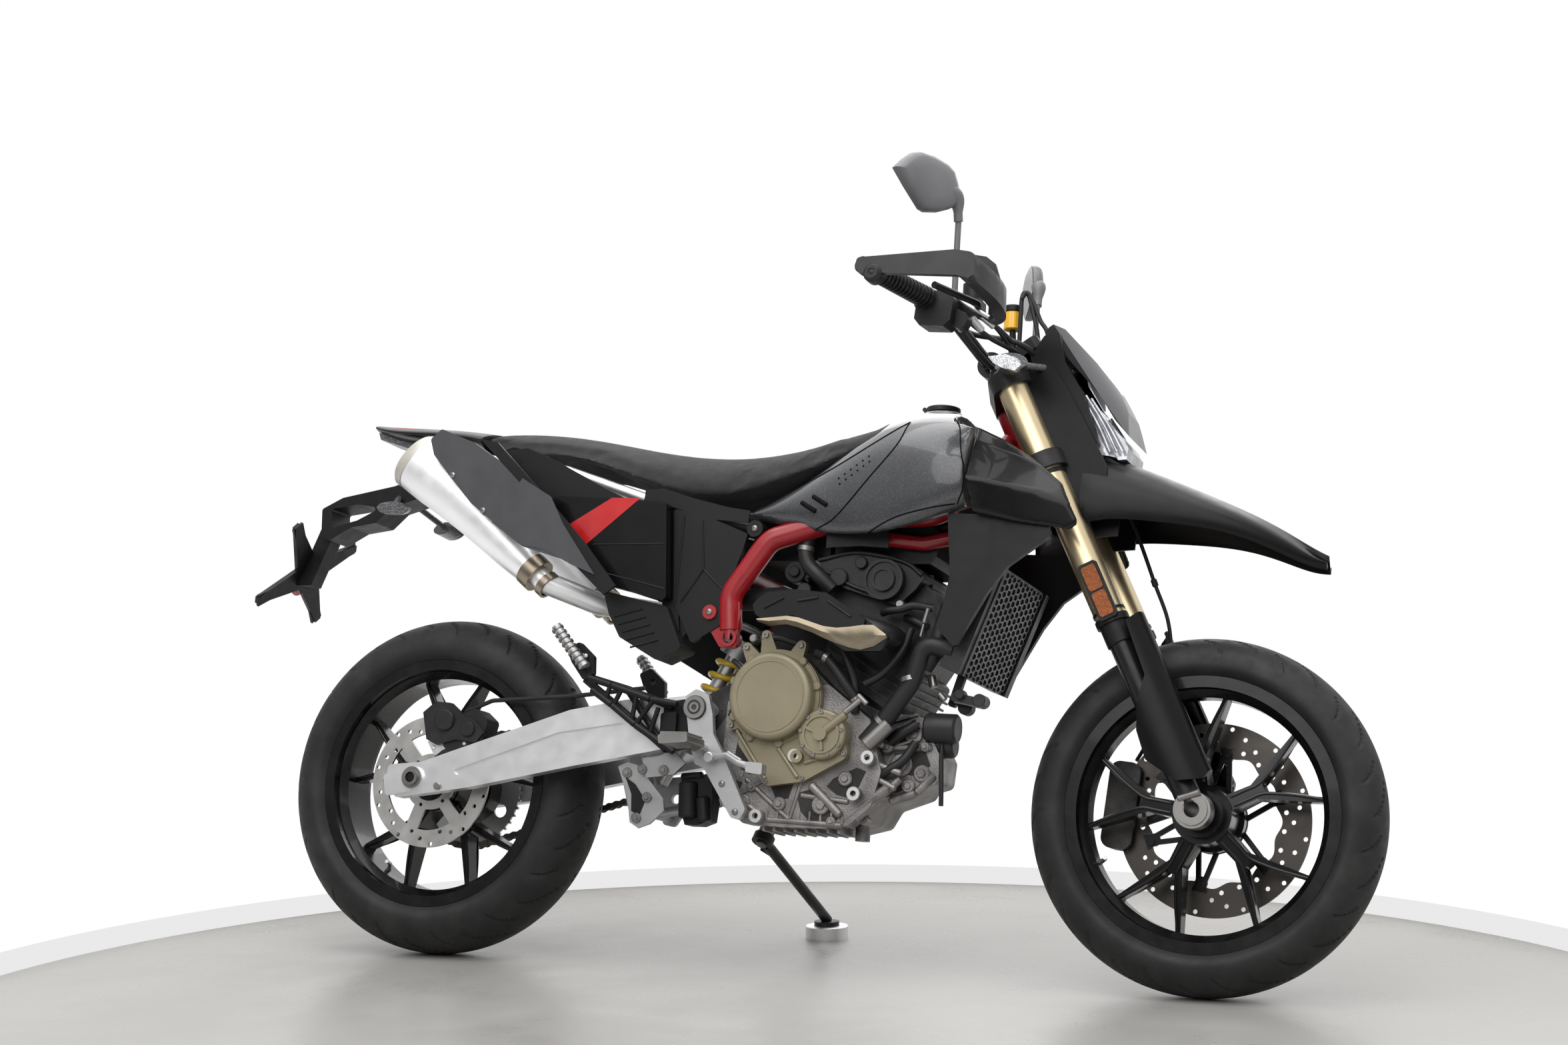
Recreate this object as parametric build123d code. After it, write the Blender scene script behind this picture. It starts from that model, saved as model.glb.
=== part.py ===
"""Supermoto motorcycle: a single-cylinder road bike, parked leaning on its side stand.

Every piece is drawn upright, with X forward, Y to the rider's left and Z up, from the
point on the ground under the rear axle. place() then leans the whole machine on to its
stand and moves it so that the origin is at the bottom centre of its box. Millimetres.
"""
import os
from math import atan2, cos, degrees, pi, radians, sin, sqrt

from build123d import *

# ---------------------------------------------------------------- driving dimensions
LEAN = 12.0                 # degrees to the left, on the side stand
WHEELBASE = 1443.0
RAKE = 25.2                 # steering axis from the vertical, degrees
TRAIL = 108.0
RUN_CLEARANCE = 0.3         # a pin in the bore that turns on it
SEAT_GAP = 0.3              # between pieces that rest against each other
TUBE_GAP = 0.6              # round a frame tube that passes a panel or the tank
DISC_GAP = 5.6              # from a disc's face to its caliper

TYRE_SHOULDER = 0.74        # share of the sidewall's height where the tyre is widest
FRONT_TYRE_R = 300.0
FRONT_TYRE_HALF = 60.0
FRONT_RIM_HALF = 49.0
FRONT_DISC_R = 165.0
FRONT_DISC_Y = 64.0
FRONT_AXLE_R = 17.0
FRONT_AXLE_BORE_R = 13.0

REAR_TYRE_R = 314.0
REAR_TYRE_HALF = 80.0
REAR_RIM_HALF = 67.0
REAR_DISC_R = 122.5
REAR_DISC_Y = -71.0
REAR_AXLE_R = 14.0
REAR_AXLE_BORE_R = 9.0
REAR_HUB_RIGHT = 68.2       # flange faces of the rear hub, from the middle plane
REAR_HUB_LEFT = 93.2
FRONT_HUB_LEFT = 61.2
FRONT_HUB_RIGHT = 60.0

RIM_LIP_R = 231.0
RIM_WALL = 6.0
RIM_LIP_WALL = 5.0
RIM_LIP_H = 12.5            # from the bead seat to the lip
DISC_THICK = 5.0
SPOKE_PAIRS = 5
SPOKE_SPREAD = 17.0         # half angle between the two ends of a pair, degrees
SPOKE_FORK_R = 104.0        # where a stem splits into its two branches
STEM_HALF = 12.0
BRANCH_HALF = 6.0
BRANCH_TIP_HALF = 4.5

FORK_Y = 98.0               # fork tube centre from the middle plane
FORK_TUBE_R = 27.0
FORK_INNER_R = 22.0
FORK_TUBE_LOW = 345.0       # lengths along the fork from the axle
FORK_TUBE_TOP = 842.0
FORK_LEG_TOP = 760.0
GUARD_R = 40.0              # the guard's half width, and its reach ahead of the tube
GUARD_REACH = 54.0
GUARD_WALL = 6.0
GUARD_LOW = 30.0
GUARD_TOP = 340.0
CLAMP_LOW = 650.0
CLAMP_HIGH = 815.0
CLAMP_THICK = 30.0

FRAME_TUBE_R = 16.5
FRAME_BRACE_R = 12.5
RAIL_R = 11.0

FIN_PITCH = 14.0            # the ribs round the cylinder
FIN_THICK = 4.0
FIN_HALF = 87.0

CHAIN_Y = 96.0
CHAIN_PITCH = 15.875
CHAIN_HALF_W = 9.5
REAR_TEETH = 42
FRONT_TEETH = 15
ROLLER_R = 5.1
GEARBOX = (640.0, 440.0)    # output shaft, x and z

PIVOT = (566.0, 451.0)      # swingarm pivot, x and z
PIVOT_R = 10.0
ARM_IN = 110.0              # swingarm leg, inner and outer faces
ARM_OUT = 136.0
SHOCK_Y = -30.0
SHOCK_TOP = (596.0, SHOCK_Y, 590.0)
SHOCK_FOOT = (452.0, SHOCK_Y, 330.0)
SHOCK_PIN = (476.0, 394.0)
SHOCK_WINDOW = 36.0         # half width of the swingarm's opening round the shock
SHOCK_BODY_R = 14.0
SHOCK_TAIL = 85.0           # from the spring's lower collar to the foot
SPRING_R = 29.0
STAND_PIVOT = (600.0, 116.0, 245.0)
STAND_PIN_R = 6.0
STAND_FOLDED = (-0.98, 0.15, 0.10)  # the leg's direction when it is folded back
STAND_FOOT_WORLD = (637.0, 390.0)
PUCK_R = 41.0
PUCK_H = 25.0

MIRROR_TURN = 25.0          # degrees the mirror heads turn inwards
BAR_R = 11.0
GRIP_R = 17.0
GRIP_END_Y = 398.0
GRIP_IN_Y = 275.0

RADIATOR_LOW = (1046.0, 516.0)      # front face, x and z
RADIATOR_HIGH = (1116.0, 702.0)
RADIATOR_HALF = 130.0
HOSE_R = 16.0

CAP_CENTRE = (944.0, 0.0, 1013.0)
CAP_R = 31.0
CAP_H = 9.0
BEAK_WALL = 4.0
STEER_SWEEP = -74.0         # how far behind the steering axis the turning clamps reach


# ---------------------------------------------------------------- derived dimensions
def leaned_axle_height(tyre_r, crown_r):
    """Axle height, upright, that puts the leaned tyre's lowest point on the ground."""
    return tyre_r - crown_r + crown_r / cos(radians(LEAN))


REAR_AXLE = Vector(0, 0, leaned_axle_height(REAR_TYRE_R, REAR_TYRE_R - RIM_LIP_R))
FRONT_AXLE = Vector(WHEELBASE, 0, leaned_axle_height(FRONT_TYRE_R, FRONT_TYRE_HALF))
STEER_DIR = Vector(-sin(radians(RAKE)), 0, cos(radians(RAKE)))
STEER_FWD = Vector(cos(radians(RAKE)), 0, sin(radians(RAKE)))
STEER_GROUND = Vector(WHEELBASE + TRAIL, 0, 0)
FORK_OFFSET = (FRONT_AXLE - STEER_GROUND).dot(STEER_FWD)
STEER_FOOT = FRONT_AXLE - STEER_FWD * FORK_OFFSET   # axle's foot on the steering axis
REAR_SPROCKET_R = CHAIN_PITCH / (2 * sin(pi / REAR_TEETH))
FRONT_SPROCKET_R = CHAIN_PITCH / (2 * sin(pi / FRONT_TEETH))


# ---------------------------------------------------------------- helpers
def outline(*points, corner=0.0):
    """A closed flat outline, with its corners rounded."""
    face = make_face(Polyline(*points, close=True))
    return fillet(face.vertices(), corner) if corner else face


def slab(shape, y_low, y_high):
    """A side-view (x, z) outline as a solid between two widths."""
    return extrude(Plane.XZ.offset(-y_high) * shape, amount=y_high - y_low)


def pair(solid):
    """A right-hand or left-hand piece and its mirror image, as two solids."""
    return Compound([*solid.solids(), *mirror(solid, about=Plane.XZ).solids()])


def rod(start, end, radius):
    """A round bar between two points."""
    start, end = Vector(*start), Vector(*end)
    axis = Plane(origin=start, z_dir=end - start)
    return axis * Cylinder(radius, (end - start).length, align=(Align.CENTER, Align.CENTER, Align.MIN))


def pipe(points, radius, bends, inner=0.0):
    """A round tube along straight runs joined by tangent bends."""
    path = FilletPolyline(*points, radius=bends)
    ring = Circle(radius)
    if inner:
        ring -= Circle(inner)
    return sweep(Plane(origin=path @ 0, z_dir=path % 0) * ring, path=path)


def cross(x, half):
    """A smooth closed section across the machine at x, from its right half's (y, z) points."""
    right = [(x, -y, z) for y, z in half]
    left = [(x, y, z) for y, z in reversed(half) if y]
    return make_face(Spline(*right, *left, periodic=True))


def hull(*stations):
    """A smooth body lofted through sections across the machine."""
    return loft([cross(x, half) for x, half in stations])


def steer_point(along, forward, y):
    """A point from its distance up the steering axis and ahead of it."""
    point = STEER_FOOT + STEER_DIR * along + STEER_FWD * forward
    return Vector(point.X, y, point.Z)


def steer_plane(along, forward=0.0, y=0.0):
    """A plane across the steering axis: x forward, z up the axis."""
    return Plane(origin=steer_point(along, forward, y), x_dir=STEER_FWD, z_dir=STEER_DIR)


def side_ring(centre, y_low, y_high, outer, inner=0.0):
    """A disc or ring whose axis runs across the machine."""
    ring = Circle(outer)
    if inner:
        ring -= Circle(inner)
    return slab(Pos(centre[0], centre[1]) * ring, y_low, y_high)


# ---------------------------------------------------------------- wheels
def wheel_plane(axle):
    """The wheel's own plane: x forward, y up, z towards the right."""
    return Plane(origin=axle, x_dir=(1, 0, 0), z_dir=(0, -1, 0))


def polar(radius, angle):
    return (radius * cos(radians(angle)), radius * sin(radians(angle)))


def tyre(axle, radius, half, rim_half):
    """A tyre with a round crown, seated between the rim's lips."""
    bead_y = rim_half - RIM_LIP_WALL - SEAT_GAP
    low, lip = RIM_LIP_R - RIM_LIP_H + SEAT_GAP, RIM_LIP_R + SEAT_GAP
    shoulder = radius - (radius - RIM_LIP_R) * TYRE_SHOULDER
    tread = [
        Line((low, -bead_y), (lip, -bead_y)),
        Line((lip, -bead_y), (lip, -rim_half)),
        Spline((lip, -rim_half), (shoulder, -half), (radius, 0), (shoulder, half), (lip, rim_half),
               tangents=[(0.5, -0.8), (-0.5, -0.8)]),
        Line((lip, rim_half), (lip, bead_y)),
        Line((lip, bead_y), (low, bead_y)),
        Line((low, bead_y), (low, -bead_y)),
    ]
    section = Plane.XZ * make_face(Wire(tread))
    return wheel_plane(axle) * revolve(section, axis=Axis.Z)


def spoke_pair(angle, hub_r, tip_r):
    """One forked spoke seen along the axle: a stem from the hub and two branches."""
    def blade(r_low, a_low, w_low, r_high, a_high, w_high):
        x0, y0 = polar(r_low, a_low)
        x1, y1 = polar(r_high, a_high)
        heading = atan2(y1 - y0, x1 - x0)
        nx, ny = -sin(heading), cos(heading)
        return outline((x0 + nx * w_low, y0 + ny * w_low), (x1 + nx * w_high, y1 + ny * w_high),
                       (x1 - nx * w_high, y1 - ny * w_high), (x0 - nx * w_low, y0 - ny * w_low))
    shape = blade(hub_r - 6, angle, STEM_HALF + 2, SPOKE_FORK_R + 6, angle, STEM_HALF)
    for side in (-1, 1):
        shape += blade(SPOKE_FORK_R - 8, angle + side * 4.5, BRANCH_HALF,
                       tip_r, angle + side * SPOKE_SPREAD, BRANCH_TIP_HALF)
    return shape


def rim(axle, rim_half, hub_r, hub_half, bore_r, first_angle, flanges):
    """A cast rim: barrel with lips and a drop centre, forked spokes and a hub.

    flanges lists (radius, from, to) of the hub's seats for disc and sprocket, along the
    axle towards the right.
    """
    h, lip = rim_half, RIM_LIP_R
    seat, edge = lip - RIM_LIP_H, h - RIM_LIP_WALL
    well = lip - 27.0
    barrel = outline(
        (lip, -h), (lip, -edge), (seat, -edge), (seat - 2, -h + 16), (well, -h + 28),
        (well, h - 28), (seat - 2, h - 16), (seat, edge), (lip, edge), (lip, h), (seat - 7, h),
        (seat - 8, h - 17), (well - RIM_WALL, h - 30), (well - RIM_WALL, -h + 30),
        (seat - 8, -h + 17), (seat - 7, -h))
    wheel = revolve(Plane.XZ * barrel, axis=Axis.Z)
    tip_r = well - 2.0
    spokes = Sketch()
    for n in range(SPOKE_PAIRS):
        spokes += spoke_pair(first_angle + n * 360 / SPOKE_PAIRS, hub_r, tip_r)
    envelope = revolve(Plane.XZ * outline((hub_r - 14, -30), (tip_r + 4, -15), (tip_r + 4, 15),
                                          (hub_r - 14, 30)), axis=Axis.Z)
    blades = extrude(spokes, amount=40, both=True) & envelope
    wheel = wheel + blades + Cylinder(hub_r, 2 * hub_half)
    for radius, low, high in flanges:
        seat_disc = Cylinder(radius, high - low, align=(Align.CENTER, Align.CENTER, Align.MIN))
        wheel += Pos(0, 0, low) * seat_disc
    wheel -= Cylinder(bore_r, 400)
    return wheel_plane(axle) * wheel


def drill_ring(outer, inner, rows, count):
    """The pattern of round holes in a brake disc's braking band."""
    holes = Sketch()
    for n in range(count):
        row = n % rows
        radius = inner + (outer - inner) * (0.2 + 0.6 * row / max(rows - 1, 1))
        holes += Pos(*polar(radius, n * 360 / count)) * Circle(4.0)
    return holes


def front_disc():
    """The single front disc: a drilled band on a six-armed carrier, left of the hub."""
    band_in = FRONT_DISC_R - 38.0
    band = Circle(FRONT_DISC_R) - Circle(band_in) - drill_ring(FRONT_DISC_R, band_in, 3, 36)
    carrier = Circle(58) - Circle(36)
    for n in range(6):
        angle = 20 + n * 60
        for lean in (-1, 1):
            start, end = polar(54, angle + lean * 17), polar(104, angle + lean * 3)
            arm = Line(start, end)
            carrier += trace(arm, line_width=9)
        carrier += Pos(*polar(108, angle)) * Circle(11)
        band += Pos(*polar(121, angle)) * Circle(13)
        carrier -= Pos(*polar(47, angle)) * Circle(3.5)
    disc = extrude(band + carrier, amount=DISC_THICK)
    buttons = Compound([Pos(*polar(115, 20 + n * 60), -1.5) * Cylinder(8, DISC_THICK + 5,
                        align=(Align.CENTER, Align.CENTER, Align.MIN)) for n in range(6)])
    disc = disc + buttons.solids()
    return wheel_plane(FRONT_AXLE) * Pos(0, 0, -FRONT_DISC_Y - DISC_THICK / 2) * disc


def rear_disc():
    """The rear disc: a drilled band on a star-shaped carrier, right of the hub."""
    band_in = REAR_DISC_R - 32.0
    band = Circle(REAR_DISC_R) - Circle(band_in) - drill_ring(REAR_DISC_R, band_in, 3, 30)
    star = Circle(52) - Circle(36)
    for n in range(6):
        angle = 10 + n * 60
        star += trace(Line(polar(46, angle), polar(band_in + 4, angle)), line_width=24)
        star -= Pos(*polar(46, angle)) * Circle(3.5)
    disc = extrude(band + star, amount=DISC_THICK)
    return wheel_plane(REAR_AXLE) * Pos(0, 0, -REAR_DISC_Y - DISC_THICK / 2) * disc


def sprocket_outline(teeth, pitch_r):
    """Toothed outline whose gullets stay clear of the chain's rollers."""
    root, tip = pitch_r - ROLLER_R - 1.2, pitch_r - 1.6
    points = []
    for n in range(teeth):
        centre = n * 360 / teeth
        for shift, radius in ((-0.5, root), (-0.22, root), (-0.1, tip), (0.1, tip), (0.22, root)):
            points.append(polar(radius, centre + shift * 360 / teeth))
    return make_face(Polyline(*points, close=True))


def rear_sprocket():
    """The driven sprocket, with its spokes and bolt ring, on the left of the hub."""
    gear = sprocket_outline(REAR_TEETH, REAR_SPROCKET_R) - Circle(44)
    for n in range(6):
        gear -= Pos(*polar(72, 30 + n * 60)) * Circle(13)
        gear -= Pos(*polar(53, n * 60)) * Circle(4)
    solid = extrude(gear, amount=5.0)
    return wheel_plane(REAR_AXLE) * Pos(0, 0, -CHAIN_Y - 2.5) * solid


# ---------------------------------------------------------------- chassis
def frame_tubes(extra=0.0):
    """The frame's right-hand tubes, or the same grown all round."""
    neck = steer_point(CLAMP_LOW + 92, 0, 0)
    side = pipe([(neck.X - 20, -22, neck.Z - 8), (985, -100, 800), (790, -130, 788), (680, -139, 754),
                 (611, -139, 655), (616, -137, 575)], FRAME_TUBE_R + extra, 50)
    brace = pipe([(neck.X - 24, -24, neck.Z - 40), (1050, -76, 776), (955, -100, 752), (800, -120, 768)],
                 FRAME_BRACE_R + extra, 40)
    return side, brace


def main_frame():
    """The tubular frame: head tube, two curved side tubes, braces and mounting bosses."""
    head = rod(steer_point(CLAMP_LOW + CLAMP_THICK / 2 + RUN_CLEARANCE, 0, 0),
               steer_point(CLAMP_HIGH - CLAMP_THICK / 2 - RUN_CLEARANCE, 0, 0), 30)
    side, brace = frame_tubes()
    gusset = slab(outline((600, 560), (632, 560), (634, 640), (600, 660), (566, 632), (566, 610),
                          corner=6), -148, -135.5)
    boss = side_ring((579, 622), -156, -130, 13, 5)
    low_ring = side_ring((616, 577), -152, -122, 16, 10)
    side = side + brace + gusset + boss + low_ring
    side -= side_ring((616, 577), -153, -121, 10)
    sides = side + mirror(side, about=Plane.XZ)
    cross_rear = rod((628, -134, 700), (628, 134, 700), 12)
    bore = rod(steer_point(CLAMP_LOW - 40, 0, 0), steer_point(CLAMP_HIGH + 40, 0, 0), 22)
    return sides + head + cross_rear - bore


def seat_rail(extra=0.0):
    """The right-hand rail under the seat, or the same grown all round."""
    return pipe([(654, -128, 773), (520, -122, 804), (250, -106, 896), (60, -78, 930)], RAIL_R + extra, 60)


def tail_bar(extra=0.0):
    """The cross tube that joins the rails at the tail, or the same grown all round."""
    return rod((75, -76, 928), (75, 76, 928), 9 + extra)


def seat_stay(extra=0.0):
    """The right-hand stay below the seat rail, or the same grown all round."""
    return pipe([(579, -126, 622), (470, -112, 668), (330, -100, 780), (240, -103, 880)], 9 + extra, 60)


def subframe():
    """The rear subframe rails that carry the seat and tail."""
    rail = seat_rail() + seat_stay() + side_ring((654, 773), -152, -120, 15, 5)
    side, _ = frame_tubes(SEAT_GAP)
    rail = rail - side - side_ring((579, 622), -157, -120, 13 + SEAT_GAP)
    cross_bar = rod((250, -98, 890), (250, 98, 890), 9)
    return rail + mirror(rail, about=Plane.XZ) + cross_bar + tail_bar()


def swingarm():
    """A double-sided cast swingarm with a bridge ahead of the tyre, and the rear axle."""
    leg = outline((-56, 339), (14, 346), (150, 392), (310, 446), (420, 466), (500, 470),
                  (566, 478), (596, 452), (566, 424), (505, 380), (324, 345), (115, 301), (-33, 279),
                  (-58, 300), corner=9)
    leg = slab(leg, ARM_IN, ARM_OUT)
    hollow = outline((60, 325), (290, 405), (420, 425), (420, 392), (300, 362), (120, 322), corner=6)
    leg -= slab(hollow, ARM_OUT - 4, ARM_OUT + 1)
    leg -= side_ring(PIVOT, ARM_IN - 1, ARM_OUT + 1, PIVOT_R + RUN_CLEARANCE)
    bridge = slab(outline((352, 384), (390, 438), (500, 452), (528, 440), (520, 400), (420, 374),
                          corner=8), -ARM_IN - 2, ARM_IN + 2)
    bridge -= slab(outline((440, 350), (440, 480), (560, 480), (560, 350)), SHOCK_Y - SHOCK_WINDOW,
                   SHOCK_Y + SHOCK_WINDOW)
    arms = leg + mirror(leg, about=Plane.XZ) + bridge
    end = ARM_OUT + 6
    axle = side_ring((0, REAR_AXLE.Z), -end, end, REAR_AXLE_R)
    nuts = side_ring((0, REAR_AXLE.Z), ARM_OUT, end, 21) + side_ring((0, REAR_AXLE.Z), -end, -ARM_OUT, 21)
    spacers = side_ring((0, REAR_AXLE.Z), REAR_HUB_LEFT + 6, ARM_IN, 22)
    spacers += side_ring((0, REAR_AXLE.Z), -ARM_IN, -REAR_HUB_RIGHT - 6, 22)
    bore = side_ring((0, REAR_AXLE.Z), -end - 1, end + 1, REAR_AXLE_BORE_R)
    return arms + axle + nuts + spacers - bore


def shock_axis():
    """The plane across the shock's top, its normal down the shock, and the shock's length."""
    run = Vector(*SHOCK_FOOT) - Vector(*SHOCK_TOP)
    return Plane(origin=SHOCK_TOP, z_dir=run), run.length


def shock():
    """The rear shock: body, collars and the pin that holds it in the swingarm."""
    axis, length = shock_axis()
    base = (Align.CENTER, Align.CENTER, Align.MIN)
    body = axis * Cylinder(SHOCK_BODY_R, length, align=base)
    body += axis * Pos(0, 0, 10) * Cylinder(SPRING_R + 1, 24, align=base)
    body += axis * Pos(0, 0, length - SHOCK_TAIL) * Cylinder(SPRING_R, 12, align=base)
    half = SHOCK_WINDOW - SEAT_GAP
    return body + side_ring(SHOCK_PIN, SHOCK_Y - half, SHOCK_Y + half, 8)


def shock_spring():
    """The coil spring between the collars, as the sleeve that it turns in."""
    axis, length = shock_axis()
    base = (Align.CENTER, Align.CENTER, Align.MIN)
    height = length - SHOCK_TAIL - 34 - 2 * SEAT_GAP
    sleeve = Cylinder(SPRING_R - 1, height, align=base)
    sleeve -= Cylinder(SHOCK_BODY_R + SEAT_GAP, height, align=base)
    return axis * Pos(0, 0, 34 + SEAT_GAP) * sleeve


def linkage():
    """The progressive linkage: a pair of plates and a tie rod under the swingarm."""
    rocker = slab(outline((392, 346), (458, 352), (462, 292), (440, 258), (418, 262), corner=9), -78, -68)
    rocker -= side_ring((440, 310), -80, -66, 9)
    plates = rocker + mirror(rocker, about=Plane.XZ)
    plates += rod((410, -82, 338), (410, 82, 338), 8) + rod((430, -82, 274), (430, 82, 274), 8)
    plates += rod((430, 0, 274), (560, 0, 300), 9)
    lug = slab(outline((396, 330), (396, 420), (424, 420), (424, 330), corner=5), 40, 50)
    plates = plates + lug + mirror(lug, about=Plane.XZ)
    return plates - swingarm() - shock()


def engine_cases():
    """Crankcase and sump, with ribs, mounting bosses and the swingarm pivot bolt."""
    middle = slab(outline((548, 480), (600, 505), (640, 560), (760, 560), (860, 470), (930, 440),
                          (962, 372), (940, 322), (880, 300), (862, 268), (800, 252), (700, 252),
                          (640, 262), (590, 292), (600, 330), (560, 400), corner=14), -84, 84)
    nose = slab(outline((860, 460), (960, 452), (1000, 380), (996, 336), (930, 316), (880, 330),
                        corner=12), -84, 10)
    right = slab(outline((612, 470), (640, 540), (740, 556), (800, 500), (880, 440), (905, 350),
                         (890, 290), (850, 256), (800, 250), (730, 250), (655, 254), (606, 300),
                         corner=14), -120, -80)
    left = slab(outline((700, 500), (740, 548), (820, 500), (890, 430), (890, 340), (820, 290),
                        (740, 290), (700, 380), corner=16), 80, 108)
    sump_plug = rod((850, -40, 262), (850, -40, 236), 13)
    body = middle + nose + right + left + sump_plug
    for x, z in ((688, 266), (863, 311), (886, 369)):
        body += side_ring((x, z), -138, -116, 11)
        body -= side_ring((x, z), -139, -126, 5)
    for start, end in (((800, 325), (862, 268)), ((862, 268), (935, 340))):
        body += rod((start[0], -113, start[1]), (end[0], -104, end[1]), 7)
    pivot = side_ring(PIVOT, -84, 84, 24) + side_ring(PIVOT, -109, 109, 13)
    bolt = side_ring(PIVOT, -150, 150, PIVOT_R) + side_ring(PIVOT, -162, -144, 21)
    bolt += side_ring(PIVOT, 144, 162, 21)
    lug = stand_plane() * (Pos(0, 0, 17) * Cylinder(15, 16) + Pos(0, 0, 4) * Cylinder(STAND_PIN_R, 34)
                           + Pos(0, 0, -11) * Cylinder(10, 4))
    lug += rod((628, 72, 305), Vector(*STAND_PIVOT) + stand_axis() * 21, 9)
    return body + pivot + bolt + lug - rod(SHOCK_TOP, SHOCK_FOOT, 31.5)


def cylinder_fins():
    """The cooling ribs round the barrel, square to its forward-leaning bore."""
    low, high = (764, 544), (921, 446)
    run = sqrt((high[0] - low[0]) ** 2 + (high[1] - low[1]) ** 2)
    along = ((high[0] - low[0]) / run, (high[1] - low[1]) / run)
    up = (-along[1], along[0])
    corners = []
    for point, rise in ((low, 0), (high, 0), (high, FIN_THICK), (low, FIN_THICK)):
        corners.append((point[0] + up[0] * rise, point[1] + up[1] * rise))
    fin = slab(outline(*corners), -FIN_HALF, FIN_HALF)
    return Compound([Pos(up[0] * FIN_PITCH * n, 0, up[1] * FIN_PITCH * n) * fin.solid() for n in range(1, 6)])


def cylinder_head():
    """The forward-leaning cylinder with fins, the head and its cam cover."""
    barrel = slab(outline((770, 540), (915, 450), (958, 520), (850, 640), (790, 640), corner=8), -80, 80)
    head = slab(outline((785, 600), (930, 505), (966, 560), (960, 680), (920, 720), (800, 700),
                        corner=14), -88, 88)
    cover = slab(outline((758, 726), (838, 740), (925, 722), (966, 696), (948, 670), (915, 640),
                         (815, 672), (776, 700), corner=12), -112, 112)
    cam_end = side_ring((893, 684), -128, -110, 36) + side_ring((893, 684), -132, -126, 22)
    block = barrel + head + cover + cam_end + cylinder_fins() - engine_cases()
    side, brace = frame_tubes(TUBE_GAP)
    for tube in (side, brace):
        block -= tube
        block -= mirror(tube, about=Plane.XZ)
    return block


def engine_covers():
    """Clutch and pump covers on the right, generator cover on the left."""
    clutch = side_ring((707, 473), -165, -120, 77)
    clutch = fillet(clutch.edges().sort_by(Axis.Y)[:1], 9)
    flange = side_ring((707, 473), -135, -120, 86)
    for x, z in ((683, 584), (750, 566), (648, 562), (628, 424)):
        root = Pos((x + 707) / 2, (z + 473) / 2) * Circle(20)
        ear = make_hull((Pos(x, z) * Circle(9)).edges() + root.edges())
        flange += slab(ear, -135, -120)
    lower = slab(outline((636, 400), (700, 318), (770, 328), (850, 372), (832, 440), (760, 470),
                         corner=16), -138, -120)
    for x, z in ((758, 370),):
        lower += side_ring((x, z), -148, -136, 11) - side_ring((x, z), -149, -138, 5)
    pump = side_ring((803, 409), -152, -120, 44)
    pump = fillet(pump.edges().sort_by(Axis.Y)[:1], 6)
    pump += side_ring((803, 409), -160, -150, 12)
    spout = rod((803, -152, 409), (846, -150, 444), 8)
    generator = side_ring((775, 405), 108, 146, 72)
    generator = fillet(generator.edges().sort_by(Axis.Y)[-1:], 10)
    right = clutch + flange + lower + pump + spout - engine_cases()
    return Compound([*right.solids(), *generator.solids()])


def chain_loop(offset):
    """The chain's racetrack outline round both sprockets, offset from the pitch line."""
    big, small = REAR_SPROCKET_R + offset, FRONT_SPROCKET_R + offset
    dx, dz = GEARBOX[0], GEARBOX[1] - REAR_AXLE.Z
    span, heading = sqrt(dx * dx + dz * dz), degrees(atan2(dz, dx))
    tilt = degrees(atan2(big - small, sqrt(span ** 2 - (big - small) ** 2)))
    def touch(radius, centre, angle):
        x, z = polar(radius, angle)
        return (centre[0] + x, centre[1] + z)
    rear, front = (0, REAR_AXLE.Z), GEARBOX
    up, down = heading + 90 - tilt, heading - 90 + tilt
    back, nose = heading + 180, heading
    edges = [
        Line(touch(big, rear, up), touch(small, front, up)),
        ThreePointArc(touch(small, front, up), touch(small, front, nose), touch(small, front, down)),
        Line(touch(small, front, down), touch(big, rear, down)),
        ThreePointArc(touch(big, rear, down), touch(big, rear, back), touch(big, rear, up)),
    ]
    return make_face(Wire(edges))


def chain():
    """The drive chain as a closed loop of link height, and the gearbox sprocket inside it."""
    band = slab(chain_loop(ROLLER_R + 1.5) - chain_loop(-ROLLER_R + 0.6), CHAIN_Y - CHAIN_HALF_W,
                CHAIN_Y + CHAIN_HALF_W)
    groove = slab(chain_loop(ROLLER_R + 1.5) - chain_loop(-ROLLER_R - 1), CHAIN_Y - 3.2, CHAIN_Y + 3.2)
    groove &= slab(chain_loop(-1.0), CHAIN_Y - 3.2, CHAIN_Y + 3.2)
    return band - groove


def gearbox_sprocket():
    """The driving sprocket on its shaft, left of the cases."""
    gear = Pos(*GEARBOX) * (sprocket_outline(FRONT_TEETH, FRONT_SPROCKET_R) - Circle(8))
    shaft = side_ring(GEARBOX, 84, CHAIN_Y + 8, 10)
    return slab(gear, CHAIN_Y - 2.5, CHAIN_Y + 2.5) + shaft


def footrest_plates():
    """The cast plates with the rider's folding footrests and their heel guards."""
    plate = outline((545, 470), (566, 484), (590, 474), (600, 440), (604, 405), (624, 372),
                    (674, 275), (664, 256), (648, 260), (590, 345), (572, 352), (557, 405), corner=8)
    plate = slab(plate, -158, -146)
    for centre in ((655, 270), (627, 318)):
        plate -= side_ring(centre, -160, -144, 4)
        plate += side_ring(centre, -146, -121, 9) - side_ring(centre, -147, -110, 4)
    plate -= side_ring(PIVOT, -160, -144, 21 + SEAT_GAP)
    stub = rod((586, -150, 376), (586, -188, 380), 11)
    peg = slab(outline((545, 390), (600, 392), (602, 378), (548, 374), corner=4), -262, -186)
    return pair(plate + stub + peg)


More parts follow.
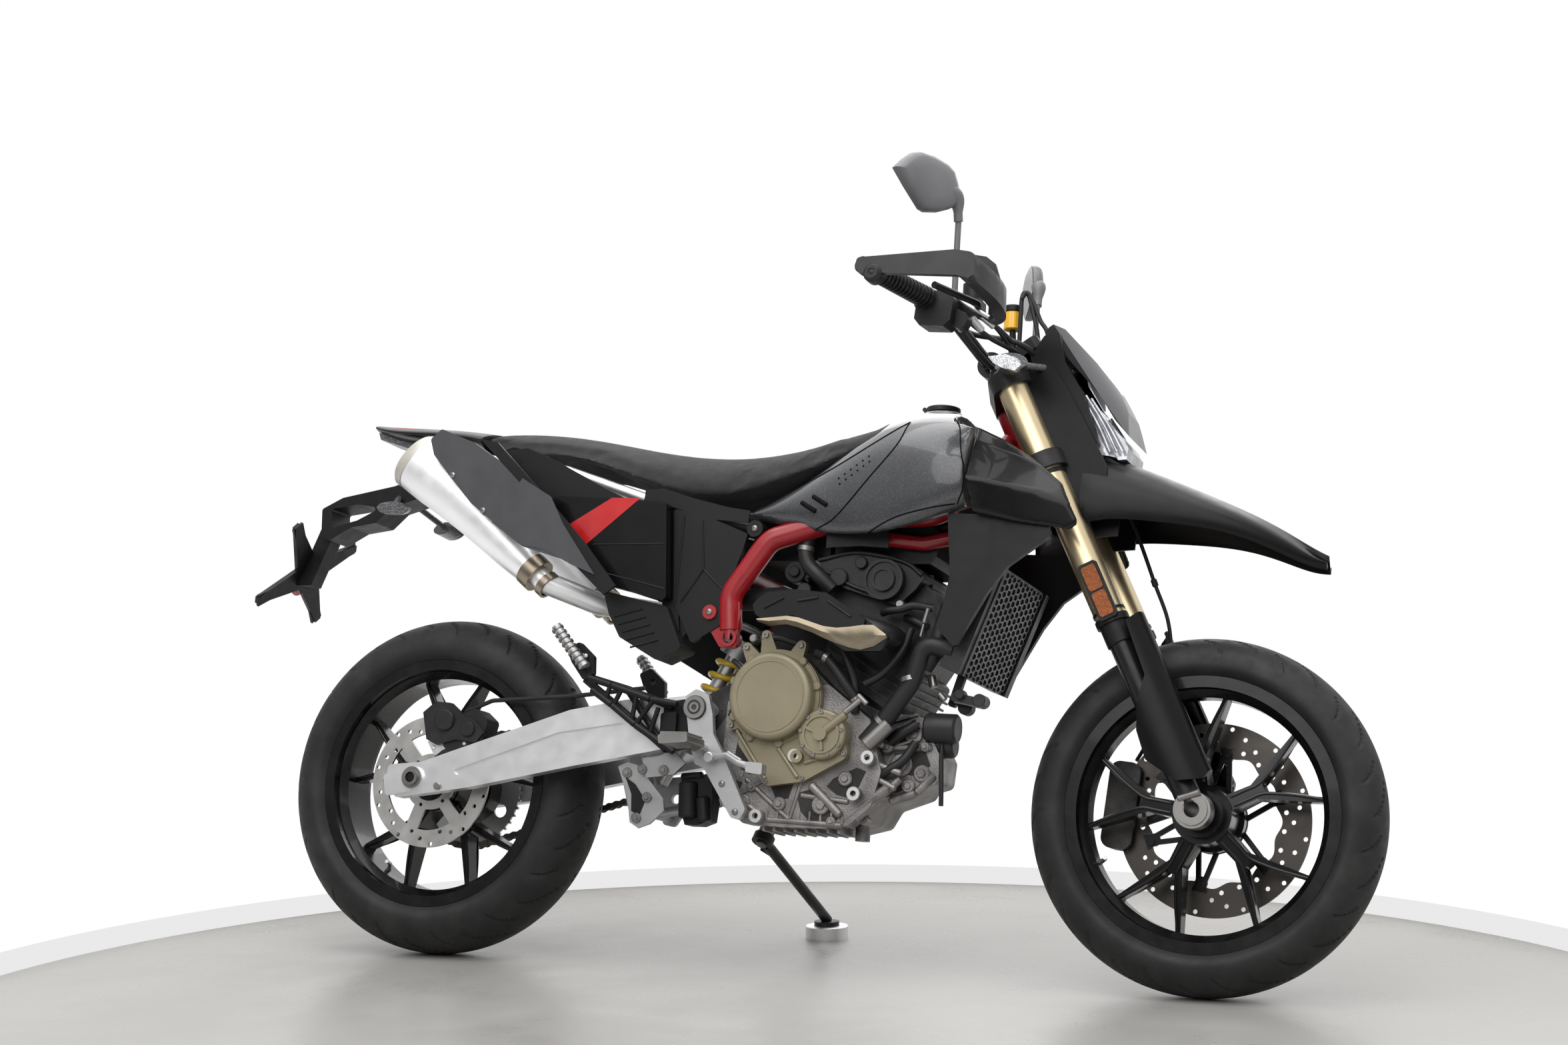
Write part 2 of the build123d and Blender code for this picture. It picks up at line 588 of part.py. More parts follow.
def foot_pedals():
    """Brake pedal on the right and gear lever on the left, on their pins."""
    brake = pipe([(606, -168, 362), (640, -176, 366), (668, -190, 352), (712, -200, 340)], 6, 14)
    brake += slab(outline((690, 352), (722, 350), (722, 330), (692, 334), corner=3), -212, -190)
    brake += rod((606, -158.3, 362), (606, -174, 362), 10)
    gear = pipe([(606, 168, 362), (650, 172, 352), (715, 180, 350)], 5, 20)
    gear += rod((715, 176, 350), (715, 206, 352), 8) + rod((606, 158.3, 362), (606, 174, 362), 10)
    return Compound([*brake.solids(), *gear.solids()])


def passenger_brackets():
    """Triangulated brackets with drilled plates that hold the passenger's footrests."""
    rods = pipe([(344, -150, 505), (430, -150, 482), (520, -150, 452)], 7, 40)
    rods += rod((344, -150, 500), (512, -150, 378), 7)
    rods += rod((430, -150, 480), (500, -150, 392), 6)
    plate = outline((307, 556), (332, 566), (362, 540), (364, 508), (345, 496), (318, 530), corner=6)
    plate = slab(plate, -162, -150)
    plate -= side_ring((337, 541), -168, -144, 6)
    foot = slab(outline((500, 460), (556, 470), (556, 380), (500, 370), corner=8), -146 + SEAT_GAP, -138)
    foot -= side_ring(PIVOT, -150, -130, 21 + SEAT_GAP)
    web = slab(outline((500, 440), (530, 444), (530, 390), (500, 384), corner=4), -156, -138)
    web -= slab(outline((545, 300), (700, 300), (700, 500), (545, 500)), -170, -120)
    return pair(rods + plate + foot + web)


def passenger_footrests():
    """Folded passenger footrests: ribbed bars that lie along the brackets."""
    bar = pipe([(352, -174, 520), (320, -178, 556), (292, -182, 592)], 9, 60)
    bar += rod((350, -162.3, 524), (350, -176, 524), 6)
    return pair(bar)


def rear_caliper():
    """The rear brake caliper over the disc, with its bracket and hose."""
    block = slab(outline((30, 372), (112, 392), (122, 430), (95, 452), (36, 428), corner=10), -94, -48)
    slot = side_ring((0, REAR_AXLE.Z), REAR_DISC_Y - DISC_THICK / 2 - DISC_GAP,
                     REAR_DISC_Y + DISC_THICK / 2 + DISC_GAP, REAR_DISC_R + DISC_GAP)
    bracket = slab(outline((-20, 330), (30, 372), (80, 396), (90, 376), (40, 340), (10, 300), corner=6),
                   -94, -84)
    bracket -= side_ring((0, REAR_AXLE.Z), -96, -80, 22 + RUN_CLEARANCE)
    hose = pipe([(70, -86, 446), (130, -98, 466), (300, -102, 476), (440, -102, 492)], 4, 30)
    return block - slot + bracket + hose


# ---------------------------------------------------------------- tank, panels and seat
def tank_body():
    """The tank's outer form: a saddle over the frame tubes, wide at the rider's knees."""
    return hull(
        (622, ((0, 812), (60, 813), (112, 809), (126, 804), (112, 799), (90, 798), (0, 798))),
        (720, ((0, 868), (70, 866), (136, 842), (156, 800), (140, 776), (112, 796), (0, 802))),
        (850, ((0, 997), (64, 976), (140, 922), (178, 836), (164, 756), (140, 788), (0, 806))),
        (960, ((0, 1004), (70, 996), (150, 960), (206, 850), (186, 768), (140, 794), (0, 806))),
        (1056, ((0, 990), (74, 984), (142, 950), (212, 846), (192, 800), (150, 806), (0, 810))),
    )


def fuel_tank():
    """The tank with its painted side covers, a filler neck and the seat's recess."""
    tank = tank_body()
    recess = outline((590, 760), (600, 806), (700, 850), (800, 898), (866, 938), (884, 1040), (590, 1040))
    tank -= slab(recess, -112, 112)
    tank -= slab(outline((590, 780), (606, 815), (700, 862), (862, 946), (880, 1040), (590, 1040)), -240, 240)
    tank -= slab(outline((985, 700), (985, 925), (1012, 965), (1120, 965), (1120, 700)), -122, 122)
    high, low = steer_point(900, STEER_SWEEP, 0), steer_point(500, STEER_SWEEP, 0)
    tank -= slab(outline((high.X, high.Z), (low.X, low.Z), (low.X + 200, low.Z), (high.X + 200, high.Z)),
                 -150, 150)
    side, brace = frame_tubes(TUBE_GAP)
    for tube in (side, brace, seat_rail(TUBE_GAP)):
        tank -= tube
        tank -= mirror(tube, about=Plane.XZ)
    base = (Align.CENTER, Align.CENTER, Align.MIN)
    neck = Pos(CAP_CENTRE[0], 0, 960) * Cylinder(CAP_R + 5, CAP_CENTRE[2] - 960, align=base)
    return tank + neck


def fuel_cap():
    """The filler cap with its lock cover and the knuckle of its hinge."""
    base = (Align.CENTER, Align.CENTER, Align.MIN)
    low = CAP_CENTRE[2] + SEAT_GAP
    lid = Pos(CAP_CENTRE[0], 0, low) * Cylinder(CAP_R, CAP_H, align=base)
    lid = fillet(lid.edges().sort_by(Axis.Z)[-1:], 2.5)
    lid += Pos(CAP_CENTRE[0] - 8, 0, low + CAP_H) * Box(26, 14, 4, align=base)
    hinge = cap_hinge()
    lid += rod((hinge.X, -10, hinge.Z), (hinge.X, 10, hinge.Z), 4)
    return lid


def cap_hinge():
    """The middle of the filler cap's hinge pin."""
    return Vector(CAP_CENTRE[0] - CAP_R - 2, 0, CAP_CENTRE[2] + SEAT_GAP + 5.5)


def front_shrouds():
    """Gloss side shrouds that run forward from the tank past the head tube."""
    shape = outline((1034, 960), (1110, 922), (1180, 874), (1222, 836), (1254, 766), (1238, 755),
                    (1148, 768), (1070, 785), (1058, 840), corner=5)
    skin = slab(shape, -216, -120) & shroud_skin()
    return pair(skin - tank_body())


def shroud_skin():
    """The curved wall that the side shrouds are cut from, right side."""
    def wall(x, points):
        outer = [(x, -y, z) for y, z in points]
        inner = [(x, -(y - 7), z - 4) for y, z in reversed(points)]
        return make_face(Polyline(*outer, *inner, close=True))
    return loft([
        wall(1020, ((128, 990), (172, 930), (216, 846), (186, 740))),
        wall(1100, ((124, 960), (170, 905), (212, 838), (190, 735))),
        wall(1180, ((150, 900), (178, 872), (202, 820), (190, 735))),
        wall(1262, ((176, 850), (184, 825), (190, 790), (184, 735))),
    ], ruled=True)


def radiator_shrouds():
    """Matt side shrouds beside the radiator, on bosses from its side tanks."""
    shape = outline((1022, 788), (1196, 780), (1206, 747), (1134, 696), (1098, 648), (1046, 556),
                    (1014, 588), (1032, 681), corner=5)
    panel = slab(shape, -184, -172)
    for x, z in ((1048, 600), (1082, 690)):
        panel += rod((x, -RADIATOR_HALF - 20 - SEAT_GAP, z), (x, -174, z), 7)
    return pair(panel)


def radiator():
    """The radiator: core, side tanks and the frame of its guard, leaning with the fork."""
    lower, upper = RADIATOR_LOW, RADIATOR_HIGH
    heading = atan2(upper[1] - lower[1], upper[0] - lower[0])
    nx, nz = sin(heading), -cos(heading)

    def layer(near, far, y_low, y_high):
        corners = [(point[0] + nx * depth, point[1] + nz * depth)
                   for point, depth in ((lower, near), (upper, near), (upper, far), (lower, far))]
        return slab(outline(*corners), y_low, y_high)

    half = RADIATOR_HALF
    core = layer(-34, -6, -half, half)
    tanks = layer(-38, -2, -half - 20, -half) + layer(-38, -2, half, half + 20)
    guard = layer(-9, 0, -half - 1, -half + 8) + layer(-9, 0, half - 8, half + 1)
    stay = rod((1072, -97, 690), (1020, -84, 769), 6)
    stays = stay + mirror(stay, about=Plane.XZ)
    _, brace = frame_tubes(SEAT_GAP)
    return core + tanks + guard + stays - brace - mirror(brace, about=Plane.XZ)


def side_panels():
    """Gloss panels below the seat, on bosses that reach the subframe."""
    shape = outline((251, 817), (268, 834), (448, 822), (490, 818), (503, 640), (377, 669), (354, 684),
                    corner=6)
    panel = slab(shape, -178, -152)
    boss = rod((400, -106, 724), (400, -154, 724), 7)
    return pair(panel + boss - seat_stay(SEAT_GAP))


def airbox_covers():
    """Matt covers between the side panels and the frame."""
    upper = outline((494, 812), (567, 794), (641, 764), (633, 733), (606, 655), (600, 600), (546, 566),
                    (506, 640), corner=6)
    lower = outline((372, 660), (500, 630), (534, 556), (486, 534), (411, 575), (386, 618), corner=8)
    upper = slab(upper, -151, -141)
    lower = slab(lower, -165, -96)
    link = slab(outline((492, 640), (512, 646), (520, 590), (500, 584)), -148, -100)
    side, _ = frame_tubes(SEAT_GAP)
    gusset = slab(outline((560, 540), (634, 540), (640, 650), (600, 668), (560, 640)), -149, -130)
    covers = upper + lower + link - side - gusset - side_ring((654, 773), -160, -110, 15 + SEAT_GAP)
    covers -= side_ring((579, 622), -170, -110, 13 + SEAT_GAP)
    return pair(covers - seat_stay(SEAT_GAP) - seat_rail(SEAT_GAP))


def seat():
    """The one-piece seat: a plain closed solid of its true outer form."""
    return hull(
        (58, ((0, 996), (60, 984), (90, 968), (70, 956), (0, 954))),
        (220, ((0, 976), (70, 962), (114, 926), (92, 922), (0, 924))),
        (400, ((0, 940), (76, 924), (130, 872), (104, 872), (0, 876))),
        (560, ((0, 924), (72, 908), (128, 832), (104, 828), (0, 830))),
        (700, ((0, 942), (66, 928), (124, 868), (98, 864), (0, 866))),
        (800, ((0, 978), (58, 963), (108, 916), (84, 912), (0, 912))),
        (862, ((0, 1010), (46, 998), (88, 956), (64, 950), (0, 950))),
    ) - seat_rail(SEAT_GAP) - mirror(seat_rail(SEAT_GAP), about=Plane.XZ) - tail_bar(SEAT_GAP)


def tail_deck():
    """The flat tail behind the seat."""
    return hull(
        (-212, ((0, 1020), (30, 1016), (44, 1010), (30, 1004), (0, 1002))),
        (-100, ((0, 1006), (60, 999), (86, 984), (60, 974), (0, 974))),
        (20, ((0, 996), (66, 987), (98, 970), (70, 956), (0, 954))),
        (57.6, ((0, 990), (66, 981), (100, 962), (70, 946), (0, 944))),
    )


def tail_unit():
    """The flat tail and the triangular trims below its sides, on bosses from the rails."""
    trim = outline((132, 928), (156, 935), (224, 918), (330, 846), (318, 836), (223, 876), (143, 905),
                   corner=4)
    trim = slab(trim, -150, -130) + rod((200, -104, 906), (200, -134, 906), 6) - seat_rail(SEAT_GAP)
    deck = tail_deck() - plate_hanger() - tail_lamp()
    return Compound([*deck.solids(), *pair(trim).solids()])


# ---------------------------------------------------------------- exhaust
def silencer_sections():
    """Centre line and half sizes of the right silencer, front to rear."""
    return (
        (Vector(212, -146, 704), 30, 30),
        (Vector(160, -150, 752), 40, 37),
        (Vector(60, -156, 838), 52, 43),
        (Vector(-18, -158, 896), 58, 46),
        (Vector(-42, -158, 912), 56, 45),
    )


def exhaust():
    """The header pipe, its split behind the shock and the two silencers."""
    sections = silencer_sections()
    run = sections[-1][0] - sections[0][0]
    faces = []
    for centre, high, wide in sections:
        plane = Plane(origin=centre, x_dir=(0, 1, 0), z_dir=run)
        faces.append(plane * Ellipse(wide, high))
    silencer = loft(faces)
    outlet = Plane(origin=sections[-1][0] + run * 0.01, x_dir=(0, 1, 0), z_dir=run)
    silencer -= outlet * Cylinder(22, 60)
    front = sections[0][0]
    branch = pipe([front + run * 0.1, front - run * 0.12, (330, -92, 648), (400, -40, 644),
                   (430, 0, 644)], 21, [20, 45, 30])
    both = silencer + branch
    both = both + mirror(both, about=Plane.XZ)
    header = pipe([(905, -50, 582), (918, -148, 582), (862, -154, 598), (790, -150, 628),
                   (700, -112, 654), (600, -86, 656), (520, -66, 650), (430, 0, 644)], 20, 24)
    return both + (header - cylinder_head())


def silencer_covers():
    """Matt covers over the outer faces of the silencers, bolted to a boss on each."""
    shape = outline((16, 938), (38, 957), (109, 929), (165, 893), (263, 802), (318, 732), (314, 707),
                    (226, 733), (115, 813), (66, 864), (26, 908), corner=7)
    cover = slab(shape, -216, -206)
    for x, z in ((70, 868), (140, 800)):
        cover += side_ring((x, z), -207, -180, 7)
    return pair(cover) - exhaust()


def heat_shield():
    """The slotted shield over the header pipe on the right, on two bosses."""
    cover = outline((679, 621), (698, 650), (755, 656), (811, 650), (885, 604), (930, 574), (918, 548),
                    (853, 548), (827, 563), (764, 596), (702, 592), corner=8)
    shield = slab(cover, -190, -178)
    for x, z in ((728, 634), (772, 624), (826, 608)):
        shield -= slab(Pos(x, z) * Rot(Z=-14) * SlotOverall(50, 6), -191, -177)
    shield += rod((780, -160, 628), (780, -180, 628), 7) + rod((890, -160, 590), (890, -180, 590), 7)
    return shield - exhaust()


# ---------------------------------------------------------------- tail details
def plate_hanger():
    """The number plate hanger: its arm from the tail and an X-shaped holder."""
    arm = outline((-106, 988), (-52, 984), (-110, 866), (-165, 850), (-197, 820), (-252, 812),
                  (-300, 786), (-318, 796), (-322, 850), (-277, 872), (-163, 893), (-125, 905), corner=6)
    arms = slab(arm, -34, 34) - slab(outline((-300, 850), (-240, 858), (-190, 850), (-240, 826),
                                             (-296, 812), corner=5), -40, 40)
    tilt = Plane(origin=(-362, 0, 726), x_dir=(0, 1, 0), z_dir=(-0.894, 0, 0.447))
    holder = Circle(34)
    for side in (-1, 1):
        holder += trace(Line((-105, -82 * side), (105, 82 * side)), line_width=26)
    plate = tilt * extrude(holder, amount=5)
    stem = slab(outline((-330, 812), (-296, 812), (-340, 700), (-374, 700)), -18, 18)
    return arms + plate + stem


def tail_lamp():
    """The lamp let into the underside of the tail, uncut."""
    return slab(outline((-206, 1000), (-110, 972), (-112, 960), (-200, 986)), -40, 40)


def rear_lamps():
    """Rear indicators on their stalks and the tail lamp under the deck."""
    stalk = rod((-150, -34.3, 868), (-120, -98, 838), 6)
    plane = Plane(origin=(-114, -108, 832), z_dir=(0.35, -0.9, -0.2))
    head = plane * extrude(Ellipse(30, 13), amount=16, both=True)
    lamp = tail_lamp() - plate_hanger()
    return Compound([*pair(stalk + head - plate_hanger()).solids(), *lamp.solids()])


# ---------------------------------------------------------------- steering
def clamp_body():
    """Both fork clamps with their bores, unpinned."""
    body = None
    for along in (CLAMP_LOW, CLAMP_HIGH):
        shape = make_hull((Pos(FORK_OFFSET, FORK_Y) * Circle(36)).edges()
                          + (Pos(FORK_OFFSET, -FORK_Y) * Circle(36)).edges() + Circle(32).edges())
        for side in (-1, 1):
            shape -= Pos(FORK_OFFSET, side * FORK_Y) * Circle(FORK_TUBE_R)
        plate = steer_plane(along - CLAMP_THICK / 2) * extrude(shape, amount=CLAMP_THICK)
        body = plate if body is None else body + plate
    return body


def triple_clamps():
    """Both fork clamps, the steering stem and the handlebar's clamps."""
    body = clamp_body() + rod(steer_point(CLAMP_LOW, 0, 0), steer_point(CLAMP_HIGH + 18, 0, 0), 16)
    for side in (-1, 1):
        body += rod(steer_point(CLAMP_HIGH, 6, side * 50), bar_centre(side * 50), 17)
        body += side_ring((bar_centre(0).X, bar_centre(0).Z), side * 50 - 18, side * 50 + 18, 24)
    return body - rod(bar_centre(-92), bar_centre(92), 14)


def bar_centre(y):
    """The handlebar's centre line at its clamps."""
    point = steer_point(CLAMP_HIGH + 58, 6, y)
    return point


def bar_half(radius):
    """The right half of the handlebar, or the same at another radius."""
    middle = bar_centre(0)
    return pipe([(middle.X, 0, middle.Z), (middle.X, -100, middle.Z), (1010, -215, 1140),
                 (938, -GRIP_END_Y, 1159)], radius, [50, 50])


def handlebar():
    """A tapered bar: thick at the clamps, bent up and back to the grips."""
    half = bar_half(BAR_R)
    return half + mirror(half, about=Plane.XZ) + rod(bar_centre(-92), bar_centre(92), 14)


def grip_axis():
    """Direction of the right grip, from inside to outside."""
    return (Vector(938, -GRIP_END_Y, 1159) - Vector(1010, -215, 1140)).normalized()


def grip_point(y):
    """A point on the right grip's centre line."""
    start = Vector(1010, -215, 1140)
    return start + grip_axis() * ((y - 215) / -grip_axis().Y)


def grips():
    """Rubber grips with their bar-end weights."""
    body = rod(grip_point(GRIP_IN_Y), grip_point(GRIP_END_Y - 6), GRIP_R)
    body += rod(grip_point(GRIP_END_Y - 6), grip_point(GRIP_END_Y + 14), 16)
    return pair(body - bar_half(BAR_R + SEAT_GAP))


def hand_guards():
    """Wrap-around hand guards from the bar ends to the bar's bends."""
    arm = slab(outline((921, 1172), (1092, 1176), (1122, 1170), (1128, 1122), (1096, 1132), (960, 1143),
                       (921, 1146), corner=7), -430, -418)
    face = loft([
        Plane.XZ.offset(427) * outline((1092, 1174), (1121, 1170), (1127, 1122), (1098, 1132)),
        Plane.XZ.offset(330) * outline((1118, 1178), (1146, 1148), (1150, 1100), (1128, 1100)),
        Plane.XZ.offset(225) * outline((1090, 1166), (1112, 1156), (1108, 1106), (1090, 1112)),
    ])
    end = rod(grip_point(GRIP_END_Y + 14.3), grip_point(GRIP_END_Y + 26), 14)
    return pair(arm + face + end)


def bar_controls():
    """Brake and clutch master cylinders, switches and levers."""
    switch = rod(grip_point(GRIP_IN_Y - 4), grip_point(GRIP_IN_Y - 44), 22)
    perch = Pos(1044, -208, 1142) * Box(60, 40, 26)
    lever = pipe([(1068, -212, 1140), (1082, -262, 1134), (1040, -372, 1136)], 6, 30)
    fluid = Pos(1052, -196, 1172) * Cylinder(18, 34)
    return pair(switch + perch + lever + fluid - bar_half(BAR_R + SEAT_GAP))


def mirrors():
    """Round-stemmed mirrors with angular heads, turned a little inwards."""
    turn = radians(MIRROR_TURN)
    plane = Plane(origin=(1000, -330, 0), x_dir=(sin(turn), cos(turn), 0), z_dir=(cos(turn), -sin(turn), 0))
    head = outline((-74, 1352), (-64, 1374), (-40, 1385), (16, 1376), (48, 1356), (70, 1318),
                   (76, 1288), (60, 1276), (0, 1276), (-24, 1288), corner=8)
    head = plane * extrude(head, amount=8, both=True)
    elbow = plane.from_local_coords(Vector(62, 1284, 0))
    ball = Plane(origin=elbow, z_dir=plane.z_dir) * Cylinder(13, 26)
    stem = rod((1026, -222, 1155.3), (1026, -222, 1178), 7) + rod((1026, -222, 1174), elbow, 6)
    return pair(head + ball + stem)


def dash():
    """The instrument panel ahead of the handlebar, on its bracket."""
    plane = Plane(origin=(1116, 0, 1098), x_dir=(0, 1, 0), z_dir=(-0.55, 0, 0.83))
    case = plane * extrude(RectangleRounded(146, 62, 12), amount=22)
    foot = steer_point(CLAMP_HIGH + CLAMP_THICK / 2 - 3, 34, 0)
    return case + rod(foot, (1118, 0, 1102), 8) - clamp_body()


def swept(points, corner, depth, half, lean):
    """A side-view outline across the middle, its front bowed back towards the sides.

    The bow's axis leans back from the vertical by some degrees.
    """
    turned = Rot(Y=lean)
    upright = slab(outline(*points, corner=corner), -half, half)
    solid = turned * upright
    box = solid.bounding_box()
    radius = (half * half + depth * depth) / (2 * depth)
    keep = Pos(box.max.X - radius, 0, box.center().Z) * Cylinder(radius, box.size.Z + 20)
    return turned.inverse() * (solid & keep)


def headlight():
    """The headlight's body, its face inclined below the screen."""
    shape = ((1176, 1046), (1222, 1022), (1262, 972), (1290, 930), (1284, 908), (1236, 914), (1196, 960))
    return swept(shape, 8, 26, 70, 28) - beak_body(-2, 0) - beak_stay()


def headlight_cowl():
    """The cowl's cheeks beside the headlight and the bowed screen over it."""
    side = outline((1128, 1086), (1152, 1124), (1178, 1132), (1192, 1074), (1226, 1018), (1256, 930),
                   (1250, 915), (1200, 908), (1158, 1016), (1140, 1053), corner=6)
    cheeks = slab(side, -90, -71) + slab(side, 71, 90)
    screen = ((1150, 1134), (1162, 1150), (1180, 1144), (1234, 1086), (1274, 1036), (1295, 992),
              (1304, 944), (1280, 972), (1252, 1016), (1218, 1056), (1168, 1112))
    bridge = slab(outline((1140, 1080), (1168, 1120), (1180, 1100), (1160, 1062)), -80, 80)
    cowl = cheeks + swept(screen, 0, 38, 78, 34) + bridge
    return cowl - headlight() - beak_body(0, 0)


def beak_body(wall, drop):
    """The mudguard's arched form, or the same set in by a wall and open below."""
    def arch(x, top, edge, half):
        h = half - wall
        return cross(x, ((0, top - wall), (h * 0.62, top - 12 - wall), (h, (top + edge) / 2),
                         (h * 0.9, edge)))
    rows = ((1232, 922, 752, 108), (1336, 888, 768, 102), (1416, 857, 765, 92), (1507, 818, 752, 74),
            (1573, 781, 731, 52), (1638, 738, 720, 26))
    return loft([arch(x, top, edge - drop, half) for x, top, edge, half in rows])


def beak_stay():
    """The plate that carries the beak on the lower clamp."""
    clamp = steer_point(CLAMP_LOW, FORK_OFFSET, 0)
    return slab(outline((clamp.X + 30, clamp.Z - 20), (clamp.X + 34, clamp.Z + 6), (1252, 915),
                        (1252, 880)), -20, 20)


def beak():
    """The high front mudguard: a thin arched shell tapering to its tip, on a stay."""
    shell = beak_body(0, 0) - beak_body(BEAK_WALL, 30)
    return shell + beak_stay() - fork_pair(FORK_TUBE_R + 4) - clamp_body()


def fork_pair(radius):
    """Plain cylinders along both fork tubes."""
    tube = Cylinder(radius, FORK_TUBE_TOP - FORK_TUBE_LOW, align=(Align.CENTER, Align.CENTER, Align.MIN))
    return pair(steer_plane(FORK_TUBE_LOW, FORK_OFFSET, -FORK_Y) * tube)


def fork_tubes():
    """The gold outer tubes of the upside-down fork."""
    base = (Align.CENTER, Align.CENTER, Align.MIN)
    length = FORK_TUBE_TOP - FORK_TUBE_LOW
    tube = Cylinder(FORK_TUBE_R, length, align=base)
    tube -= Pos(0, 0, -1) * Cylinder(FORK_INNER_R + RUN_CLEARANCE, length - 40, align=base)
    return pair(steer_plane(FORK_TUBE_LOW, FORK_OFFSET, -FORK_Y) * tube)


def fork_legs():
    """Inner fork tubes, their axle clamps and the hollow front axle."""
    base = (Align.CENTER, Align.CENTER, Align.MIN)
    leg = steer_plane(10, FORK_OFFSET, -FORK_Y) * Cylinder(FORK_INNER_R, FORK_LEG_TOP - 10, align=base)
    lug = side_ring((FRONT_AXLE.X, FRONT_AXLE.Z), -FORK_Y - 18, -FORK_Y + 16, 31)
    legs = leg + lug
    legs = legs + mirror(legs, about=Plane.XZ)
    end = FORK_Y + 20
    axle = side_ring((FRONT_AXLE.X, FRONT_AXLE.Z), -end, end, FRONT_AXLE_R)
    axle += side_ring((FRONT_AXLE.X, FRONT_AXLE.Z), -FORK_Y, -FRONT_HUB_RIGHT - 6, 24)
    axle += side_ring((FRONT_AXLE.X, FRONT_AXLE.Z), FRONT_DISC_Y + 10, FORK_Y, 24)
    reach = FORK_Y + 2 * FORK_INNER_R
    bore = side_ring((FRONT_AXLE.X, FRONT_AXLE.Z), -reach, reach, FRONT_AXLE_BORE_R)
    return legs + axle - bore


def fork_guards():
    """Plastic guards ahead of and outside the fork's lower legs, narrow at the top."""
    shape = Ellipse(GUARD_REACH, GUARD_R) - Ellipse(GUARD_REACH - GUARD_WALL, GUARD_R - GUARD_WALL)
    shape -= Pos(0, 10 + GUARD_R) * Rectangle(3 * GUARD_REACH, 2 * GUARD_R)
    guard = steer_plane(GUARD_LOW, FORK_OFFSET, -FORK_Y) * extrude(shape, amount=GUARD_TOP - GUARD_LOW)
    guard &= slab(outline((1326, 612), (1348, 634), (1372, 600), (1408, 540), (1446, 462), (1476, 380),
                          (1462, 352), (1420, 346), (1366, 380), (1350, 428), (1352, 480), (1362, 520),
                          (1346, 560), corner=6), -200, 0)
    for along in (GUARD_LOW + 35, GUARD_LOW + 130):
        start = steer_point(along, FORK_OFFSET, -FORK_Y - FORK_INNER_R - SEAT_GAP)
        end = steer_point(along, FORK_OFFSET, -FORK_Y - GUARD_R + 3)
        guard += rod(start, end, 6)
    guard -= side_ring((FRONT_AXLE.X, FRONT_AXLE.Z), -FORK_Y - 60, -FORK_Y + 60, 32)
    return pair(guard - fork_pair(FORK_TUBE_R + SEAT_GAP))


def front_caliper():
    """The radial front caliper behind the left fork leg, with its lugs."""
    x, z = polar(158, 173)
    block = Pos(FRONT_AXLE.X + x, FRONT_AXLE.Z + z) * Rot(Z=-6) * RectangleRounded(54, 150, 18)
    body = slab(block, FRONT_DISC_Y - 24, FRONT_DISC_Y + 28)
    body -= side_ring((FRONT_AXLE.X, FRONT_AXLE.Z), FRONT_DISC_Y - DISC_THICK / 2 - DISC_GAP,
                      FRONT_DISC_Y + DISC_THICK / 2 + DISC_GAP, FRONT_DISC_R + DISC_GAP)
    for along, height in ((88, 46), (40, -30)):
        start = steer_point(along, FORK_OFFSET, FORK_Y - 6)
        body += rod(start, (FRONT_AXLE.X - 140, FRONT_DISC_Y + 20, FRONT_AXLE.Z + 20 + height), 8)
    return body - fork_legs()


def front_indicators():
    """Front indicators on short stalks beside the cowl."""
    stalk = rod((1155, -92.5, 1065), (1122, -150, 1056), 6)
    plane = Plane(origin=(1116, -164, 1054), z_dir=(0.3, -0.95, 0))
    head = plane * extrude(Ellipse(28, 15), amount=17, both=True)
    return pair(stalk + head)


# ---------------------------------------------------------------- stand
def stand_foot():
    """Centre of the foot's sole, in the upright machine's frame."""
    x, y_world = STAND_FOOT_WORLD
    lean = radians(LEAN)
    z_world = PUCK_H + SEAT_GAP
    return Vector(x, y_world * cos(lean) - z_world * sin(lean), y_world * sin(lean) + z_world * cos(lean))


def stand_axis():
    """The stand's hinge axis: square to the leg, both down and folded."""
    leg = (stand_foot() - Vector(*STAND_PIVOT)).normalized()
    return leg.cross(Vector(*STAND_FOLDED).normalized()).normalized()


def stand_plane():
    """The plane across the stand's hinge."""
    return Plane(origin=STAND_PIVOT, z_dir=stand_axis())


def side_stand():
    """The side stand: pivot eye, leg, foot and the peg that a toe pushes, down on its puck."""
    foot = stand_foot()
    pivot = Vector(*STAND_PIVOT)
    along = (foot - pivot).normalized()
    leg = rod(pivot + along * 18, foot + Vector(0, 0, 10), 10)
    eye = stand_plane() * Cylinder(20, 16)
    pad = Pos(foot) * Rot(X=LEAN) * Cylinder(24, 8, align=(Align.CENTER, Align.CENTER, Align.MIN))
    toe = rod(pivot + along * 60, pivot + along * 60 + Vector(-34, 10, 16), 5)
    bore = stand_plane() * Cylinder(STAND_PIN_R + RUN_CLEARANCE, 60)
    return eye + leg + pad + toe - bore


def stand_puck():
    """The round metal puck on the ground under the stand's foot."""
    x, y_world = STAND_FOOT_WORLD
    puck = Pos(x, y_world, 0) * Cylinder(PUCK_R, PUCK_H, align=(Align.CENTER, Align.CENTER, Align.MIN))
    puck = chamfer(puck.edges().sort_by(Axis.Z)[-1:], 1.5)
    return Rot(X=LEAN) * puck


def coolant_hoses():
    """Coolant hose from the radiator's right tank to the pump."""
    return pipe([(1032, -138, 556), (978, -138, 570), (956, -132, 500), (905, -126, 432), (876, -126, 398)],
                HOSE_R, [22, 45, 60]) - radiator() - engine_cases() - engine_covers()


